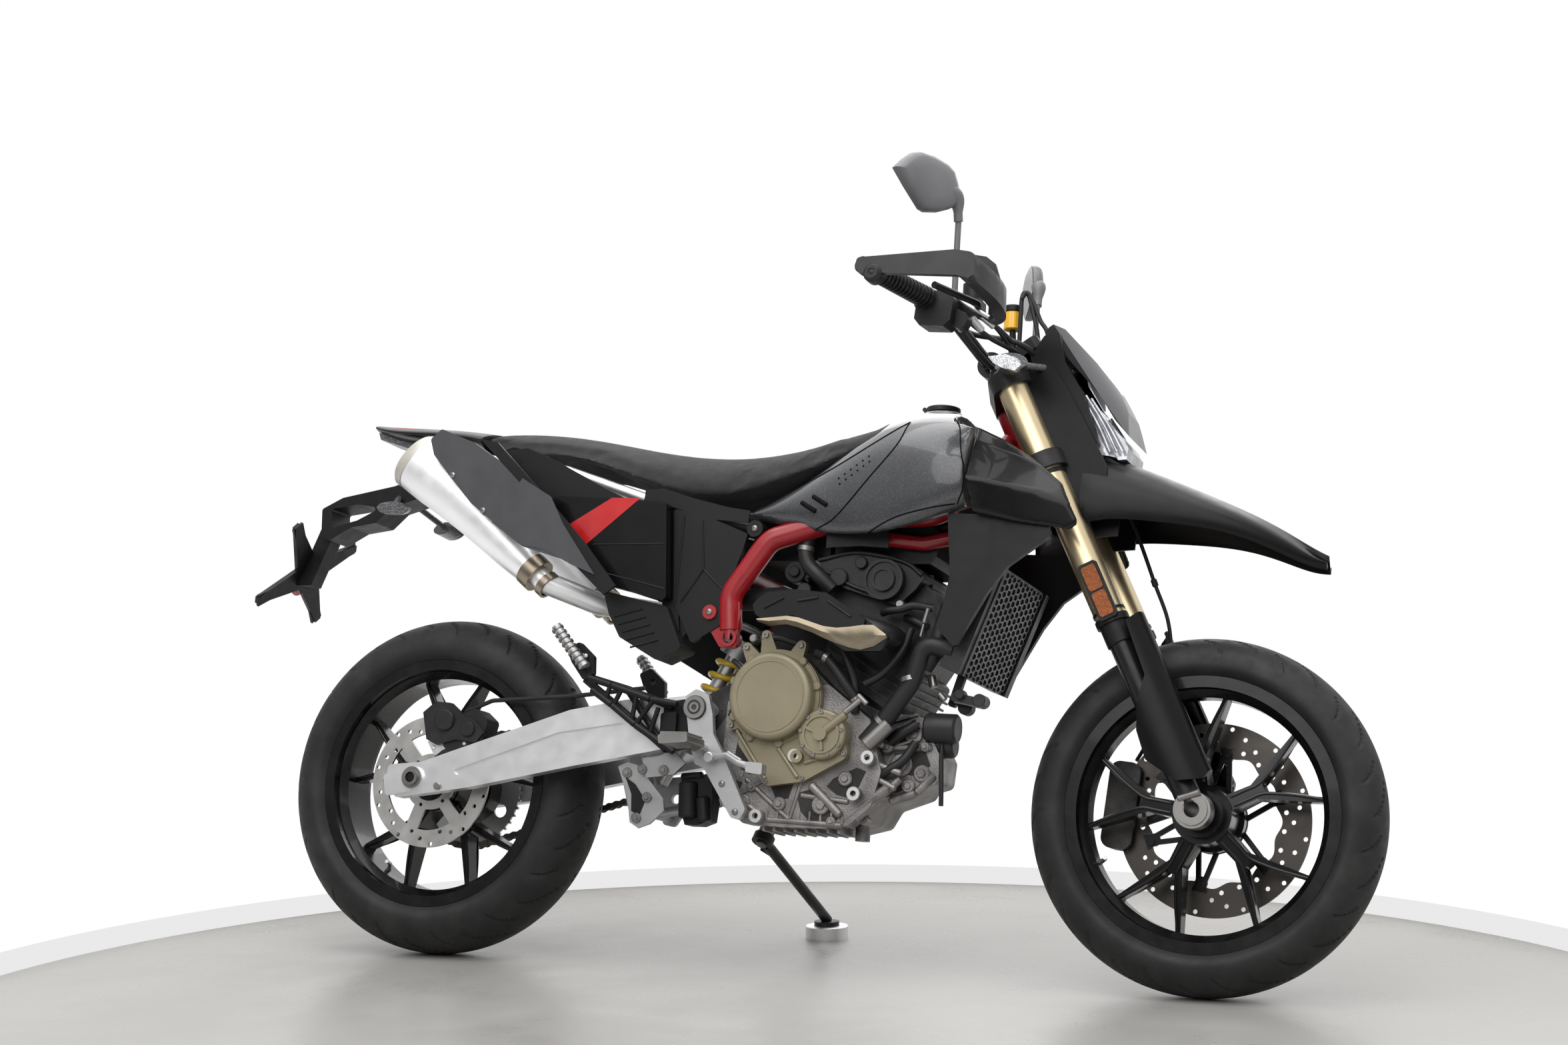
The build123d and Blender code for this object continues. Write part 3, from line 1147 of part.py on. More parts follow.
# ---------------------------------------------------------------- assembly
BUILDERS = (
    main_frame, subframe, swingarm, shock, shock_spring, linkage, engine_cases, cylinder_head, engine_covers,
    chain, gearbox_sprocket, footrest_plates, foot_pedals, passenger_brackets, passenger_footrests,
    rear_caliper, fuel_tank, front_shrouds, radiator_shrouds, radiator, side_panels, airbox_covers,
    seat, tail_unit, exhaust, silencer_covers, heat_shield, plate_hanger, rear_lamps, coolant_hoses,
    stand_puck,
    triple_clamps, handlebar, grips, hand_guards, bar_controls, mirrors, dash, headlight,
    headlight_cowl, beak, fork_tubes, fork_legs, fork_guards, front_caliper, front_indicators,
    front_disc, rear_disc, rear_sprocket, side_stand, fuel_cap,
)
WHEELS = {
    "front_tyre": lambda: tyre(FRONT_AXLE, FRONT_TYRE_R, FRONT_TYRE_HALF, FRONT_RIM_HALF),
    "rear_tyre": lambda: tyre(REAR_AXLE, REAR_TYRE_R, REAR_TYRE_HALF, REAR_RIM_HALF),
    "front_rim": lambda: rim(FRONT_AXLE, FRONT_RIM_HALF, 50, 38, FRONT_AXLE_R + RUN_CLEARANCE, 26,
                             ((40, 38, FRONT_HUB_RIGHT), (57, -FRONT_HUB_LEFT, -38))),
    "rear_rim": lambda: rim(REAR_AXLE, REAR_RIM_HALF, 52, 50, REAR_AXLE_R + RUN_CLEARANCE, 90,
                            ((50, 50, REAR_HUB_RIGHT), (62, -REAR_HUB_LEFT, -50))),
}


def build_all():
    """Every node, upright."""
    nodes = {builder.__name__: builder() for builder in BUILDERS}
    nodes.update({name: make() for name, make in WHEELS.items()})
    return nodes


def placement(nodes):
    """Lean the machine on to its stand, with the origin at its box's bottom centre."""
    lean = Rot(X=-LEAN)
    boxes = [(lean * shape).bounding_box() for shape in nodes.values()]
    low_x, high_x = min(b.min.X for b in boxes), max(b.max.X for b in boxes)
    low_y, high_y = min(b.min.Y for b in boxes), max(b.max.Y for b in boxes)
    return Pos(-(low_x + high_x) / 2, -(low_y + high_y) / 2, -min(b.min.Z for b in boxes)) * lean


if __name__ == "__main__":
    os.makedirs("parts", exist_ok=True)
    machine = build_all()
    placed = placement(machine)
    for name, shape in machine.items():
        export_step(placed * shape, f"parts/{name}.step")
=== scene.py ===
"""Looks of a supermoto motorcycle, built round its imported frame.

Lengths inside the classes are millimetres in the machine's own upright frame: X forward,
Y to the rider's left, Z up, from the ground under the rear axle. Machine.at() leans a
point on to the side stand and gives it in the row frame, in metres.
"""
import logging
import math
from dataclasses import dataclass
from enum import Enum
from typing import Callable, Iterable, Sequence

import bmesh
import bpy
import numpy as np
from mathutils import Matrix, Vector
from mathutils.bvhtree import BVHTree
from mathutils.geometry import delaunay_2d_cdt


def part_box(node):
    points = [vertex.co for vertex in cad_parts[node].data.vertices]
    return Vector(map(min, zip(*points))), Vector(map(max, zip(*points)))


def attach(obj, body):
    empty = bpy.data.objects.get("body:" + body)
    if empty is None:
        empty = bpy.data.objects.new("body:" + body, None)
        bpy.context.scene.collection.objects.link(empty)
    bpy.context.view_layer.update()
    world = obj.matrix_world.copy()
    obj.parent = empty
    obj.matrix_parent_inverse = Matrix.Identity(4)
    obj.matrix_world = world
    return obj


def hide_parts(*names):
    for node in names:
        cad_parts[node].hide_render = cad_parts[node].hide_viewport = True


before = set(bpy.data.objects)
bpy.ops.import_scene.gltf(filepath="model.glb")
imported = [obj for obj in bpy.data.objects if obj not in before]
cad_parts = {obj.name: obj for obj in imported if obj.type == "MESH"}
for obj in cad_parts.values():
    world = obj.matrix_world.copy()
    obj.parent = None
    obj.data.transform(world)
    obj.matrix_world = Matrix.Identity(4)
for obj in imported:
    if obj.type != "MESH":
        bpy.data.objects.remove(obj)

LOG = logging.getLogger("supermoto")
MM = 0.001
# Points nearer than this, in metres, are one point.
DOUBLES = 1e-5
# Edges bent past these angles, in degrees, stay sharp on a new piece and on a smoothed CAD skin.
PIECE_SHARP, SKIN_SHARP = 40, 20
LEAN = math.radians(12)
RIGHT, LEFT = Vector((0, -1, 0)), Vector((0, 1, 0))
FORWARD, UP = Vector((1, 0, 0)), Vector((0, 0, 1))
Point = tuple[float, float, float]
Place = Point | Vector
Colour = tuple[float, float, float]
Outline = Sequence[tuple[float, float]]
Faces = list[list[int]]
Part = tuple[list[Point], Faces]


class Body(str, Enum):
    """The CAD bodies that pieces ride on."""

    CHASSIS = "chassis"
    STEERING = "steering"
    FRONT_WHEEL = "front_wheel"
    REAR_WHEEL = "rear_wheel"


class Side(int, Enum):
    """Which side of the machine a piece is on, as the sign of its Y."""

    RIGHT = -1
    LEFT = 1


class Machine:
    """The upright machine frame, placed by the puck under the side stand's foot."""

    PUCK = (637, 390)
    RAKE = math.radians(25.2)
    REAR_AXLE = Vector((0, 0, 315.85))
    FRONT_AXLE = Vector((1443, 0, 301.54))
    TRAIL = 108
    FORK_Y = 98

    def __init__(self) -> None:
        low, high = (Vector(corner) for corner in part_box("stand_puck"))
        middle = (low + high) / (2 * MM)
        self.shift = Vector((middle.x - self.PUCK[0], middle.y - self.PUCK[1], low.z / MM))
        self.lean = Matrix.Rotation(-LEAN, 3, "X")
        self.up = Vector((-math.sin(self.RAKE), 0, math.cos(self.RAKE)))
        self.ahead = Vector((math.cos(self.RAKE), 0, math.sin(self.RAKE)))
        ground = self.FRONT_AXLE.x + self.TRAIL
        offset = (self.FRONT_AXLE - Vector((ground, 0, 0))).dot(self.ahead)
        self.fork_offset = offset
        self.foot = self.FRONT_AXLE - self.ahead * offset

    def at(self, x: float, y: float, z: float) -> Vector:
        """A point of the upright machine, in the row frame."""
        return (self.lean @ Vector((x, y, z)) + self.shift) * MM

    def turned(self, x: float, y: float, z: float) -> Vector:
        """A direction of the upright machine, in the row frame."""
        return self.lean @ Vector((x, y, z))

    def fork(self, along: float, ahead: float, y: float) -> Point:
        """The upright point at a distance up the steering axis from the axle's foot, and ahead of it."""
        point = self.foot + self.up * along + self.ahead * ahead
        return (point.x, y, point.z)


BIKE = Machine()


# ------------------------------------------------------------------ mesh helpers
def new_piece(name: str, verts: Sequence[Point], faces: Sequence[Sequence[int]],
              smooth: bool = True, sharp: float = PIECE_SHARP) -> bpy.types.Object:
    """Makes a mesh piece at the origin from upright points; edges bent past `sharp` degrees stay sharp."""
    mesh = bpy.data.meshes.new(name)
    mesh.from_pydata([BIKE.at(*v) for v in verts], [], faces)
    mesh.validate()
    obj = linked(name, mesh)
    tidy(obj, smooth, sharp)
    return obj


def linked(name: str, data: bpy.types.ID) -> bpy.types.Object:
    """An object of a mesh, a lamp or a camera, in the scene."""
    obj = bpy.data.objects.new(name, data)
    bpy.context.scene.collection.objects.link(obj)
    return obj


def tidy(obj: bpy.types.Object, smooth: bool = True, sharp: float = PIECE_SHARP) -> None:
    """Merges doubles, turns faces outwards and sets how they shade."""
    bm = bmesh.new()
    bm.from_mesh(obj.data)
    bmesh.ops.remove_doubles(bm, verts=bm.verts, dist=DOUBLES)
    bmesh.ops.recalc_face_normals(bm, faces=bm.faces)
    for face in bm.faces:
        face.smooth = smooth
    bm.to_mesh(obj.data)
    bm.free()
    if smooth:
        obj.data.set_sharp_from_angle(angle=math.radians(sharp))


def dress(obj: bpy.types.Object, finish: "Finish", body: Body) -> bpy.types.Object:
    """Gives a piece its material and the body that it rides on."""
    obj.data.materials.clear()
    obj.data.materials.append(finish.material())
    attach(obj, body.value)
    LOG.info("piece %s: %d faces", obj.name, len(obj.data.polygons))
    return obj


def join_parts(parts: Iterable[Part]) -> Part:
    """Joins separate vertex and face lists into one pair of lists."""
    verts: list[Point] = []
    faces: list[list[int]] = []
    for part_verts, part_faces in parts:
        base = len(verts)
        verts.extend(part_verts)
        faces.extend([[base + index for index in face] for face in part_faces])
    return verts, faces


def smooth_path(points: Sequence[Point], steps: int = 8) -> list[Vector]:
    """A Catmull-Rom path through the points."""
    pts = [Vector(p) for p in points]
    ends = [pts[0] * 2 - pts[1]] + pts + [pts[-1] * 2 - pts[-2]]
    path: list[Vector] = []
    for i in range(1, len(ends) - 2):
        a, b, c, d = ends[i - 1:i + 3]
        for k in range(steps):
            t = k / steps
            path.append(0.5 * (2 * b + (c - a) * t + (2 * a - 5 * b + 4 * c - d) * t * t
                               + (3 * b - a - 3 * c + d) * t ** 3))
    return path + [pts[-1]]


def tube(points: Sequence[Vector], radius: float | Callable[[float], float], sides: int = 12) -> Part:
    """A closed round tube along points; its radius may be a function of 0..1 along it."""
    size = radius if callable(radius) else (lambda _: radius)
    count = len(points)
    verts: list[Point] = []
    faces: list[list[int]] = []
    up = Vector((0, 0, 1))
    normal = None
    for i, point in enumerate(points):
        ahead = (points[min(i + 1, count - 1)] - points[max(i - 1, 0)]).normalized()
        if normal is None:
            normal = ahead.cross(up if abs(ahead.dot(up)) < 0.9 else Vector((1, 0, 0)))
        normal = (normal - ahead * normal.dot(ahead)).normalized()
        other = ahead.cross(normal)
        r = size(i / max(count - 1, 1))
        for k in range(sides):
            angle = 2 * math.pi * k / sides
            verts.append(tuple(point + normal * math.cos(angle) * r + other * math.sin(angle) * r))
    for i in range(count - 1):
        for k in range(sides):
            a, b = i * sides + k, i * sides + (k + 1) % sides
            faces.append([a, b, b + sides, a + sides])
    faces.append(list(range(sides))[::-1])
    faces.append([(count - 1) * sides + k for k in range(sides)])
    return verts, faces


def quads(rows: int, count: int, close: bool = False) -> Faces:
    """Four-sided faces between rows of `count` points, round each row, and back to the first if closed."""
    return [[i * count + k, i * count + (k + 1) % count, (i + 1) % rows * count + (k + 1) % count,
             (i + 1) % rows * count + k] for i in range(rows if close else rows - 1) for k in range(count)]


def prism(count: int) -> Faces:
    """The faces of a closed bar whose two ends are outlines of `count` points."""
    return [list(range(count)), [count + k for k in range(count)][::-1]] + quads(2, count)


def plate(shape: Outline, y_low: float, y_high: float) -> Part:
    """A side-view (x, z) outline as a flat plate between two widths."""
    return [(x, y, z) for y in (y_low, y_high) for x, z in shape], prism(len(shape))


def mirrored(part: Part) -> Part:
    """The same part on the other side of the machine."""
    verts, faces = part
    return [(x, -y, z) for x, y, z in verts], [face[::-1] for face in faces]


def both_sides(part: Part) -> Part:
    """The part and its mirror image, joined."""
    return join_parts((part, mirrored(part)))


def pairs(parts: Iterable[Part]) -> list[Part]:
    """Every part with its mirror image."""
    return [both_sides(part) for part in parts]


def lathe(axis_at: Vector, profile: Outline, steps: int,
          bend: Callable[[float, float, float], float] | None = None) -> Part:
    """Turns a closed (radius, y) profile round a crosswise axis.

    `bend` maps (angle, y, radius) to a radius.
    """
    rows = len(profile)
    verts: list[Point] = []
    faces: list[list[int]] = []
    for i in range(steps):
        angle = 2 * math.pi * i / steps
        for radius, y in profile:
            r = bend(angle, y, radius) if bend else radius
            verts.append((axis_at.x + r * math.cos(angle), axis_at.y + y, axis_at.z + r * math.sin(angle)))
    for i in range(steps):
        j = (i + 1) % steps
        for k in range(rows):
            m = (k + 1) % rows
            faces.append([i * rows + k, i * rows + m, j * rows + m, j * rows + k])
    return verts, faces


# ------------------------------------------------------------------ node trees
def node(tree: bpy.types.NodeTree, kind: str, inputs: dict[str | int, object] | None = None,
         **settings: object) -> bpy.types.Node:
    """Adds a node; an input that is given a socket is linked to it, any other is set."""
    made = tree.nodes.new(kind)
    for name, value in settings.items():
        setattr(made, name, value)
    feed(tree, made, inputs or {})
    return made


def feed(tree: bpy.types.NodeTree, target: bpy.types.Node, inputs: dict[str | int, object]) -> None:
    """Links or sets a node's inputs."""
    for name, value in inputs.items():
        if isinstance(value, bpy.types.NodeSocket):
            tree.links.new(value, target.inputs[name])
        else:
            target.inputs[name].default_value = value


class Repeater:
    """A Geometry Nodes tree that sets one shape on every point of a point mesh.

    The points carry a rotation (Euler) and a size; the tree turns, scales, realizes and
    gives the copies their material.
    """

    def __init__(self, name: str) -> None:
        tree = self.tree = bpy.data.node_groups.new(name, "GeometryNodeTree")
        socket = tree.interface.new_socket
        socket("Geometry", in_out="INPUT", socket_type="NodeSocketGeometry")
        socket("Geometry", in_out="OUTPUT", socket_type="NodeSocketGeometry")
        self.shape_id = socket("Shape", in_out="INPUT", socket_type="NodeSocketObject").identifier
        self.finish_id = socket("Finish", in_out="INPUT", socket_type="NodeSocketMaterial").identifier
        enter = node(tree, "NodeGroupInput").outputs
        named = "GeometryNodeInputNamedAttribute"
        shape = node(tree, "GeometryNodeObjectInfo", {"Object": enter["Shape"]})
        turn = node(tree, named, {"Name": "turn"}, data_type="FLOAT_VECTOR")
        grow = node(tree, named, {"Name": "grow"}, data_type="FLOAT")
        euler = node(tree, "FunctionNodeEulerToRotation", {"Euler": turn.outputs["Attribute"]})
        spread = node(tree, "GeometryNodeInstanceOnPoints",
                      {"Points": enter["Geometry"], "Instance": shape.outputs["Geometry"],
                       "Rotation": euler.outputs["Rotation"], "Scale": grow.outputs["Attribute"]})
        real = node(tree, "GeometryNodeRealizeInstances", {"Geometry": spread.outputs["Instances"]})
        paint = node(tree, "GeometryNodeSetMaterial",
                     {"Geometry": real.outputs["Geometry"], "Material": enter["Finish"]})
        node(tree, "NodeGroupOutput", {"Geometry": paint.outputs["Geometry"]})

    def spread(self, name: str, shape: bpy.types.Object,
               spots: Sequence[tuple[Point, Point, Point, float]], finish: "Finish", body: Body,
               slot: str, smooth: bool = False) -> bpy.types.Object:
        """Sets the shape on every (place, axis, sideways, size) and makes the result one plain mesh."""
        mesh = bpy.data.meshes.new(name + "_points")
        mesh.from_pydata([BIKE.at(*spot[0]) for spot in spots], [], [])
        mesh.attributes.new("turn", "FLOAT_VECTOR", "POINT")
        mesh.attributes.new("grow", "FLOAT", "POINT")
        turn, grow = mesh.attributes["turn"], mesh.attributes["grow"]
        for i, (_, axis, across, size) in enumerate(spots):
            z = BIKE.turned(*axis).normalized()
            x = BIKE.turned(*across)
            x = (x - z * x.dot(z)).normalized()
            basis = Matrix((x, z.cross(x), z)).transposed()
            turn.data[i].vector = basis.to_euler()
            grow.data[i].value = size
        holder = linked(name + "_holder", mesh)
        mod = holder.modifiers.new("repeat", "NODES")
        mod.node_group = self.tree
        mod[self.shape_id] = shape
        mod[self.finish_id] = finish.material()
        bpy.context.view_layer.update()
        graph = bpy.context.evaluated_depsgraph_get()
        result = bpy.data.meshes.new_from_object(holder.evaluated_get(graph), depsgraph=graph)
        bpy.data.objects.remove(holder)
        obj = linked(name, result)
        for polygon in result.polygons:
            polygon.use_smooth = smooth
        if smooth:
            result.set_sharp_from_angle(angle=math.radians(35))
        for leftover in ("turn", "grow"):
            if leftover in result.attributes:
                result.attributes.remove(result.attributes[leftover])
        return dress(obj, finish, body)


def stamp(name: str, part: Part) -> bpy.types.Object:
    """A hidden shape for a Repeater, from points in millimetres about its own origin."""
    mesh = bpy.data.meshes.new(name)
    mesh.from_pydata([Vector(v) * MM for v in part[0]], [], part[1])
    obj = bpy.data.objects.new(name, mesh)
    bm = bmesh.new()
    bm.from_mesh(mesh)
    bmesh.ops.recalc_face_normals(bm, faces=bm.faces)
    bm.to_mesh(mesh)
    bm.free()
    return obj


def turned_stamp(name: str, profile: Outline, sides: int) -> bpy.types.Object:
    """A stamp turned about Z from an open (radius, height) profile that starts and ends on it."""
    verts: list[Point] = []
    for radius, height in profile:
        for k in range(sides):
            angle = 2 * math.pi * k / sides
            verts.append((radius * math.cos(angle), radius * math.sin(angle), height))
    faces = quads(len(profile), sides)
    faces.append(list(range(sides)))
    faces.append([(len(profile) - 1) * sides + k for k in range(sides)])
    return stamp(name, (verts, faces))


# ------------------------------------------------------------------ finishes
class Grain(str, Enum):
    """How a finish's fine relief runs."""

    EVEN = "even"
    BRUSHED = "brushed"
    CAST = "cast"
    TURNED = "turned"
    CREASED = "creased"


@dataclass(frozen=True)
class Finish:
    """A procedural material for one kind of surface of the machine."""

    name: str
    slot: str
    colour: Colour
    roughness: float
    metallic: float = 0
    coat: float = 0
    sheen: float = 0
    grain: Grain = Grain.EVEN
    grain_scale: float = 900
    grain_depth: float = 0.05
    tone: float = 0.12
    tone_scale: float = 9
    rough_spread: float = 0.08
    dust: float = 0
    flake: float = 0
    centre: Point = (0, 0, 0)
    shine: float = 0.5

    def material(self) -> bpy.types.Material:
        """The finish's material, built on first use."""
        found = bpy.data.materials.get(self.name)
        if found:
            return found
        mat = bpy.data.materials.new(self.name)
        mat.use_nodes = True
        self._wire(mat.node_tree)
        return mat

    def _wire(self, tree: bpy.types.NodeTree) -> None:
        """Builds the node tree: mottled colour, uneven roughness and a fine relief."""
        coord = node(tree, "ShaderNodeTexCoord").outputs["Object"]
        shift = node(tree, "ShaderNodeMapping", {"Location": -BIKE.at(*self.centre), "Vector": coord},
                     vector_type="POINT")
        place = node(tree, "ShaderNodeMapping", {"Rotation": (LEAN, 0, 0), "Vector": shift.outputs["Vector"]}
                     ).outputs["Vector"]
        shade = self._range(tree, self._noise(tree, place, self.tone_scale, 4), 1 - self.tone, 1 + self.tone)
        colour = node(tree, "ShaderNodeMix", {"Factor": 1, "A": (*self.colour, 1), "B": shade},
                      data_type="RGBA", blend_type="MULTIPLY").outputs["Result"]
        if self.flake:
            cells = node(tree, "ShaderNodeTexVoronoi", {"Scale": 1400, "Vector": place})
            bright = self._range(tree, cells.outputs["Color"], 0, self.flake, 0.75, 1)
            colour = self._over(tree, bright, colour, (0.6, 0.6, 0.62, 1))
        if self.dust:
            amount = self._range(tree, self._noise(tree, place, 22, 8), 0, self.dust, 0.45, 0.75)
            colour = self._over(tree, amount, colour, (0.32, 0.29, 0.25, 1))
        rough = self._range(tree, self._noise(tree, place, self.tone_scale * 4, 6),
                            max(self.roughness - self.rough_spread, 0.02),
                            min(self.roughness + self.rough_spread, 1))
        bump = node(tree, "ShaderNodeBump",
                    {"Strength": min(self.grain_depth * 4, 1), "Distance": self.grain_depth * MM,
                     "Height": self._relief(tree, place)})
        feed(tree, tree.nodes["Principled BSDF"],
             {"Metallic": self.metallic, "Specular IOR Level": self.shine, "Coat Weight": self.coat,
              "Coat Roughness": 0.04, "Sheen Weight": self.sheen, "Sheen Roughness": 0.5,
              "Base Color": colour, "Roughness": rough, "Normal": bump.outputs["Normal"]})

    @staticmethod
    def _noise(tree: bpy.types.NodeTree, place: bpy.types.NodeSocket, scale: float,
               detail: float) -> bpy.types.NodeSocket:
        """A noise over the piece."""
        return node(tree, "ShaderNodeTexNoise", {"Scale": scale, "Detail": detail, "Vector": place}
                    ).outputs["Fac"]

    @staticmethod
    def _range(tree: bpy.types.NodeTree, value: bpy.types.NodeSocket, low: float, high: float,
               start: float = 0.3, end: float = 0.7) -> bpy.types.NodeSocket:
        """The value spread between two limits."""
        return node(tree, "ShaderNodeMapRange", {"From Min": start, "From Max": end, "To Min": low,
                                                 "To Max": high, "Value": value}).outputs["Result"]

    @staticmethod
    def _over(tree: bpy.types.NodeTree, amount: bpy.types.NodeSocket, under: bpy.types.NodeSocket,
              over: tuple[float, float, float, float]) -> bpy.types.NodeSocket:
        """A second colour laid over the first by an amount."""
        return node(tree, "ShaderNodeMix", {"Factor": amount, "A": under, "B": over}, data_type="RGBA"
                    ).outputs["Result"]

    def _relief(self, tree: bpy.types.NodeTree, place: bpy.types.NodeSocket) -> bpy.types.NodeSocket:
        """The height of the finish's fine relief."""
        if self.grain is Grain.BRUSHED:
            along = node(tree, "ShaderNodeMapping", {"Scale": (0.03, 1, 1), "Rotation": (0, -LEAN, 0),
                                                     "Vector": place})
            return self._noise(tree, along.outputs["Vector"], self.grain_scale, 4)
        if self.grain is Grain.TURNED:
            return node(tree, "ShaderNodeTexWave", {"Scale": self.grain_scale, "Distortion": 1.5,
                                                    "Vector": place},
                        wave_type="RINGS", rings_direction="Y").outputs["Fac"]
        if self.grain is Grain.CREASED:
            cells = node(tree, "ShaderNodeTexVoronoi", {"Scale": self.grain_scale, "Vector": place},
                         feature="DISTANCE_TO_EDGE")
            return self._range(tree, cells.outputs["Distance"], 0, 1, 0, 0.25)
        return self._noise(tree, place, self.grain_scale, 8 if self.grain is Grain.CAST else 3)


GLOSS_BLACK = Finish("gloss black paint", "", (0.0035, 0.0035, 0.0038), 0.24, coat=0.18, tone=0.2, shine=0.2,
                     grain_scale=60, grain_depth=0.01, rough_spread=0.03)
WHEEL_BLACK = Finish("black wheel enamel", "wheel_black", (0.003, 0.003, 0.0034), 0.26, coat=0.22,
                     grain_scale=500, grain_depth=0.03, dust=0.02, shine=0.25)
MATT_BLACK = Finish("black moulded plastic", "matt_black", (0.006, 0.006, 0.0065), 0.46, grain=Grain.CAST,
                    shine=0.26, grain_scale=1500, grain_depth=0.12, tone=0.15)
DARK_PLASTIC = Finish("dark grey plastic", "matt_black", (0.017, 0.017, 0.0185), 0.46, grain=Grain.CAST,
                      shine=0.4, grain_scale=1300, grain_depth=0.1)
GREY_PAINT = Finish("grey metallic paint", "", (0.040, 0.041, 0.045), 0.32, metallic=0.25, coat=0.5,
                    flake=0.30, grain_scale=60, grain_depth=0.02, rough_spread=0.04)
RED_PAINT = Finish("red frame paint", "red_paint", (0.25, 0.006, 0.010), 0.34, coat=0.2, grain_scale=300,
                   grain_depth=0.05, tone=0.08)
COWL_BLACK = Finish("satin black cowl", "gloss_black", (0.003, 0.003, 0.0034), 0.34, tone=0.2, shine=0.2,
                    grain_scale=60, grain_depth=0.02, rough_spread=0.04)
FORK_DARK = Finish("dark fork leg", "", (0.012, 0.012, 0.013), 0.3, metallic=0.3, grain_scale=400, shine=0.4)
SHELL_GREY = Finish("grey moulded shell", "matt_black", (0.115, 0.115, 0.122), 0.45, grain=Grain.CAST,
                    grain_scale=900)
SATIN_GREY = Finish("satin grey cover", "matt_black", (0.044, 0.044, 0.048), 0.4, grain=Grain.CAST, shine=0.5,
                    grain_scale=900)
DULL_LENS = Finish("small lamp lens", "", (0.10, 0.10, 0.105), 0.2, metallic=0.2, tone=0.3, coat=0.4,
                   grain=Grain.CREASED, grain_scale=160, grain_depth=0.5)
TYRE_RUBBER = Finish("tyre rubber", "", (0.0115, 0.0115, 0.012), 0.6, grain=Grain.CAST, grain_scale=700,
                     grain_depth=0.25, dust=0.035, tone=0.2, tone_scale=14, shine=0.35)
RUBBER = Finish("hose rubber", "rubber", (0.010, 0.010, 0.0105), 0.5, grain=Grain.CAST, grain_scale=900,
                grain_depth=0.15, shine=0.4)
ALLOY = Finish("brushed alloy", "silver_metal", (0.80, 0.80, 0.81), 0.36, metallic=0.9, grain=Grain.BRUSHED,
               grain_scale=420, grain_depth=0.02, tone=0.03, rough_spread=0.05)
CAST_ALLOY = Finish("cast alloy", "", (0.44, 0.44, 0.445), 0.45, metallic=0.85, grain=Grain.CAST,
                    grain_scale=650, grain_depth=0.35, tone=0.10, dust=0.03)
LINK_ALLOY = Finish("linkage alloy", "silver_metal", (0.36, 0.36, 0.365), 0.42, metallic=0.85,
                    grain=Grain.CAST, grain_scale=650, grain_depth=0.35, tone=0.15, dust=0.03)
ENGINE_GREY = Finish("grey engine casting", "grey_cast", (0.22, 0.21, 0.205), 0.42, metallic=0.75,
                     grain=Grain.CAST, grain_scale=420, grain_depth=0.8, tone=0.42, tone_scale=22, dust=0.12)
# Painted shade on the upper part of the engine cases; also the front caliper's own dark grey.
CASE_SHADE = Finish("shaded engine casting", "", (0.045, 0.043, 0.042), 0.5, metallic=0.5, grain=Grain.CAST,
                    grain_scale=420, grain_depth=0.8, tone=0.5, tone_scale=26, dust=0.1)
# Painted shade: flat dark plates of this finish stand in for the shade in the casting's recesses.
PAINTED_POCKET_SHADE = Finish("painted pocket shade", "dark_metal", (0.016, 0.015, 0.015), 0.6, metallic=0.3,
                grain=Grain.CAST, grain_scale=420, grain_depth=0.8, tone=0.5, tone_scale=30, dust=0.08)
DULL_STEEL = Finish("dull plated steel", "steel", (0.27, 0.26, 0.25), 0.36, metallic=0.9, grain=Grain.CAST,
                    grain_scale=600, grain_depth=0.2)
SMOKE = Finish("smoked screen", "", (0.060, 0.060, 0.064), 0.2, coat=0.3, tone=0.1, grain_scale=60,
               grain_depth=0.01)
ENGINE_BLACK = Finish("black engine enamel", "matt_black", (0.012, 0.012, 0.0125), 0.42, metallic=0.2,
                      grain=Grain.CAST, grain_scale=600, grain_depth=0.4, dust=0.03, shine=0.4)
BRONZE = Finish("bronze engine cover", "olive_cover", (0.235, 0.205, 0.135), 0.45, metallic=0.45,
                grain=Grain.CAST, grain_scale=900, grain_depth=0.25, tone=0.08)
CHAMPAGNE = Finish("champagne alloy", "gold", (0.25, 0.21, 0.15), 0.3, metallic=0.85, tone=0.08,
                   grain_scale=600, grain_depth=0.1)
GOLD = Finish("gold anodised tube", "", (0.74, 0.61, 0.39), 0.34, metallic=0.95, grain=Grain.BRUSHED,
              grain_scale=500, grain_depth=0.015, tone=0.04, rough_spread=0.04)
SPRING_YELLOW = Finish("yellow spring enamel", "", (0.62, 0.42, 0.02), 0.3, coat=0.6, grain_scale=400)
STEEL = Finish("steel", "steel", (0.55, 0.54, 0.53), 0.34, metallic=0.95, grain=Grain.BRUSHED,
               grain_scale=500, grain_depth=0.02, tone=0.06)
SILENCER = Finish("satin silencer steel", "", (0.92, 0.92, 0.93), 0.4, metallic=0.7,
                  grain=Grain.BRUSHED, grain_scale=500, grain_depth=0.015, tone=0.04)
HEADER = Finish("heat-tinted pipe", "silver_metal", (0.30, 0.25, 0.19), 0.36, metallic=1, grain_scale=300,
                grain_depth=0.05, tone=0.25, tone_scale=16)
FRONT_DISC = Finish("front disc steel", "disc_steel", (0.075, 0.068, 0.062), 0.36, metallic=0.95,
                    grain=Grain.TURNED, grain_scale=260, grain_depth=0.03, centre=(1443, 64, 301.5), tone=0.1)
REAR_DISC = Finish("rear disc steel", "", (0.60, 0.59, 0.57), 0.34, metallic=0.95, grain=Grain.TURNED,
                   grain_scale=260, grain_depth=0.03, centre=(0, -71, 315.9), tone=0.08)
CHAIN_STEEL = Finish("chain steel", "", (0.16, 0.145, 0.13), 0.38, metallic=1, grain_scale=600, dust=0.1)
SEAT_CLOTH = Finish("seat cloth", "", (0.0075, 0.0075, 0.0082), 0.75, sheen=0.08, grain=Grain.CREASED,
                    grain_scale=620, grain_depth=0.3, tone=0.18, tone_scale=12, shine=0.3)
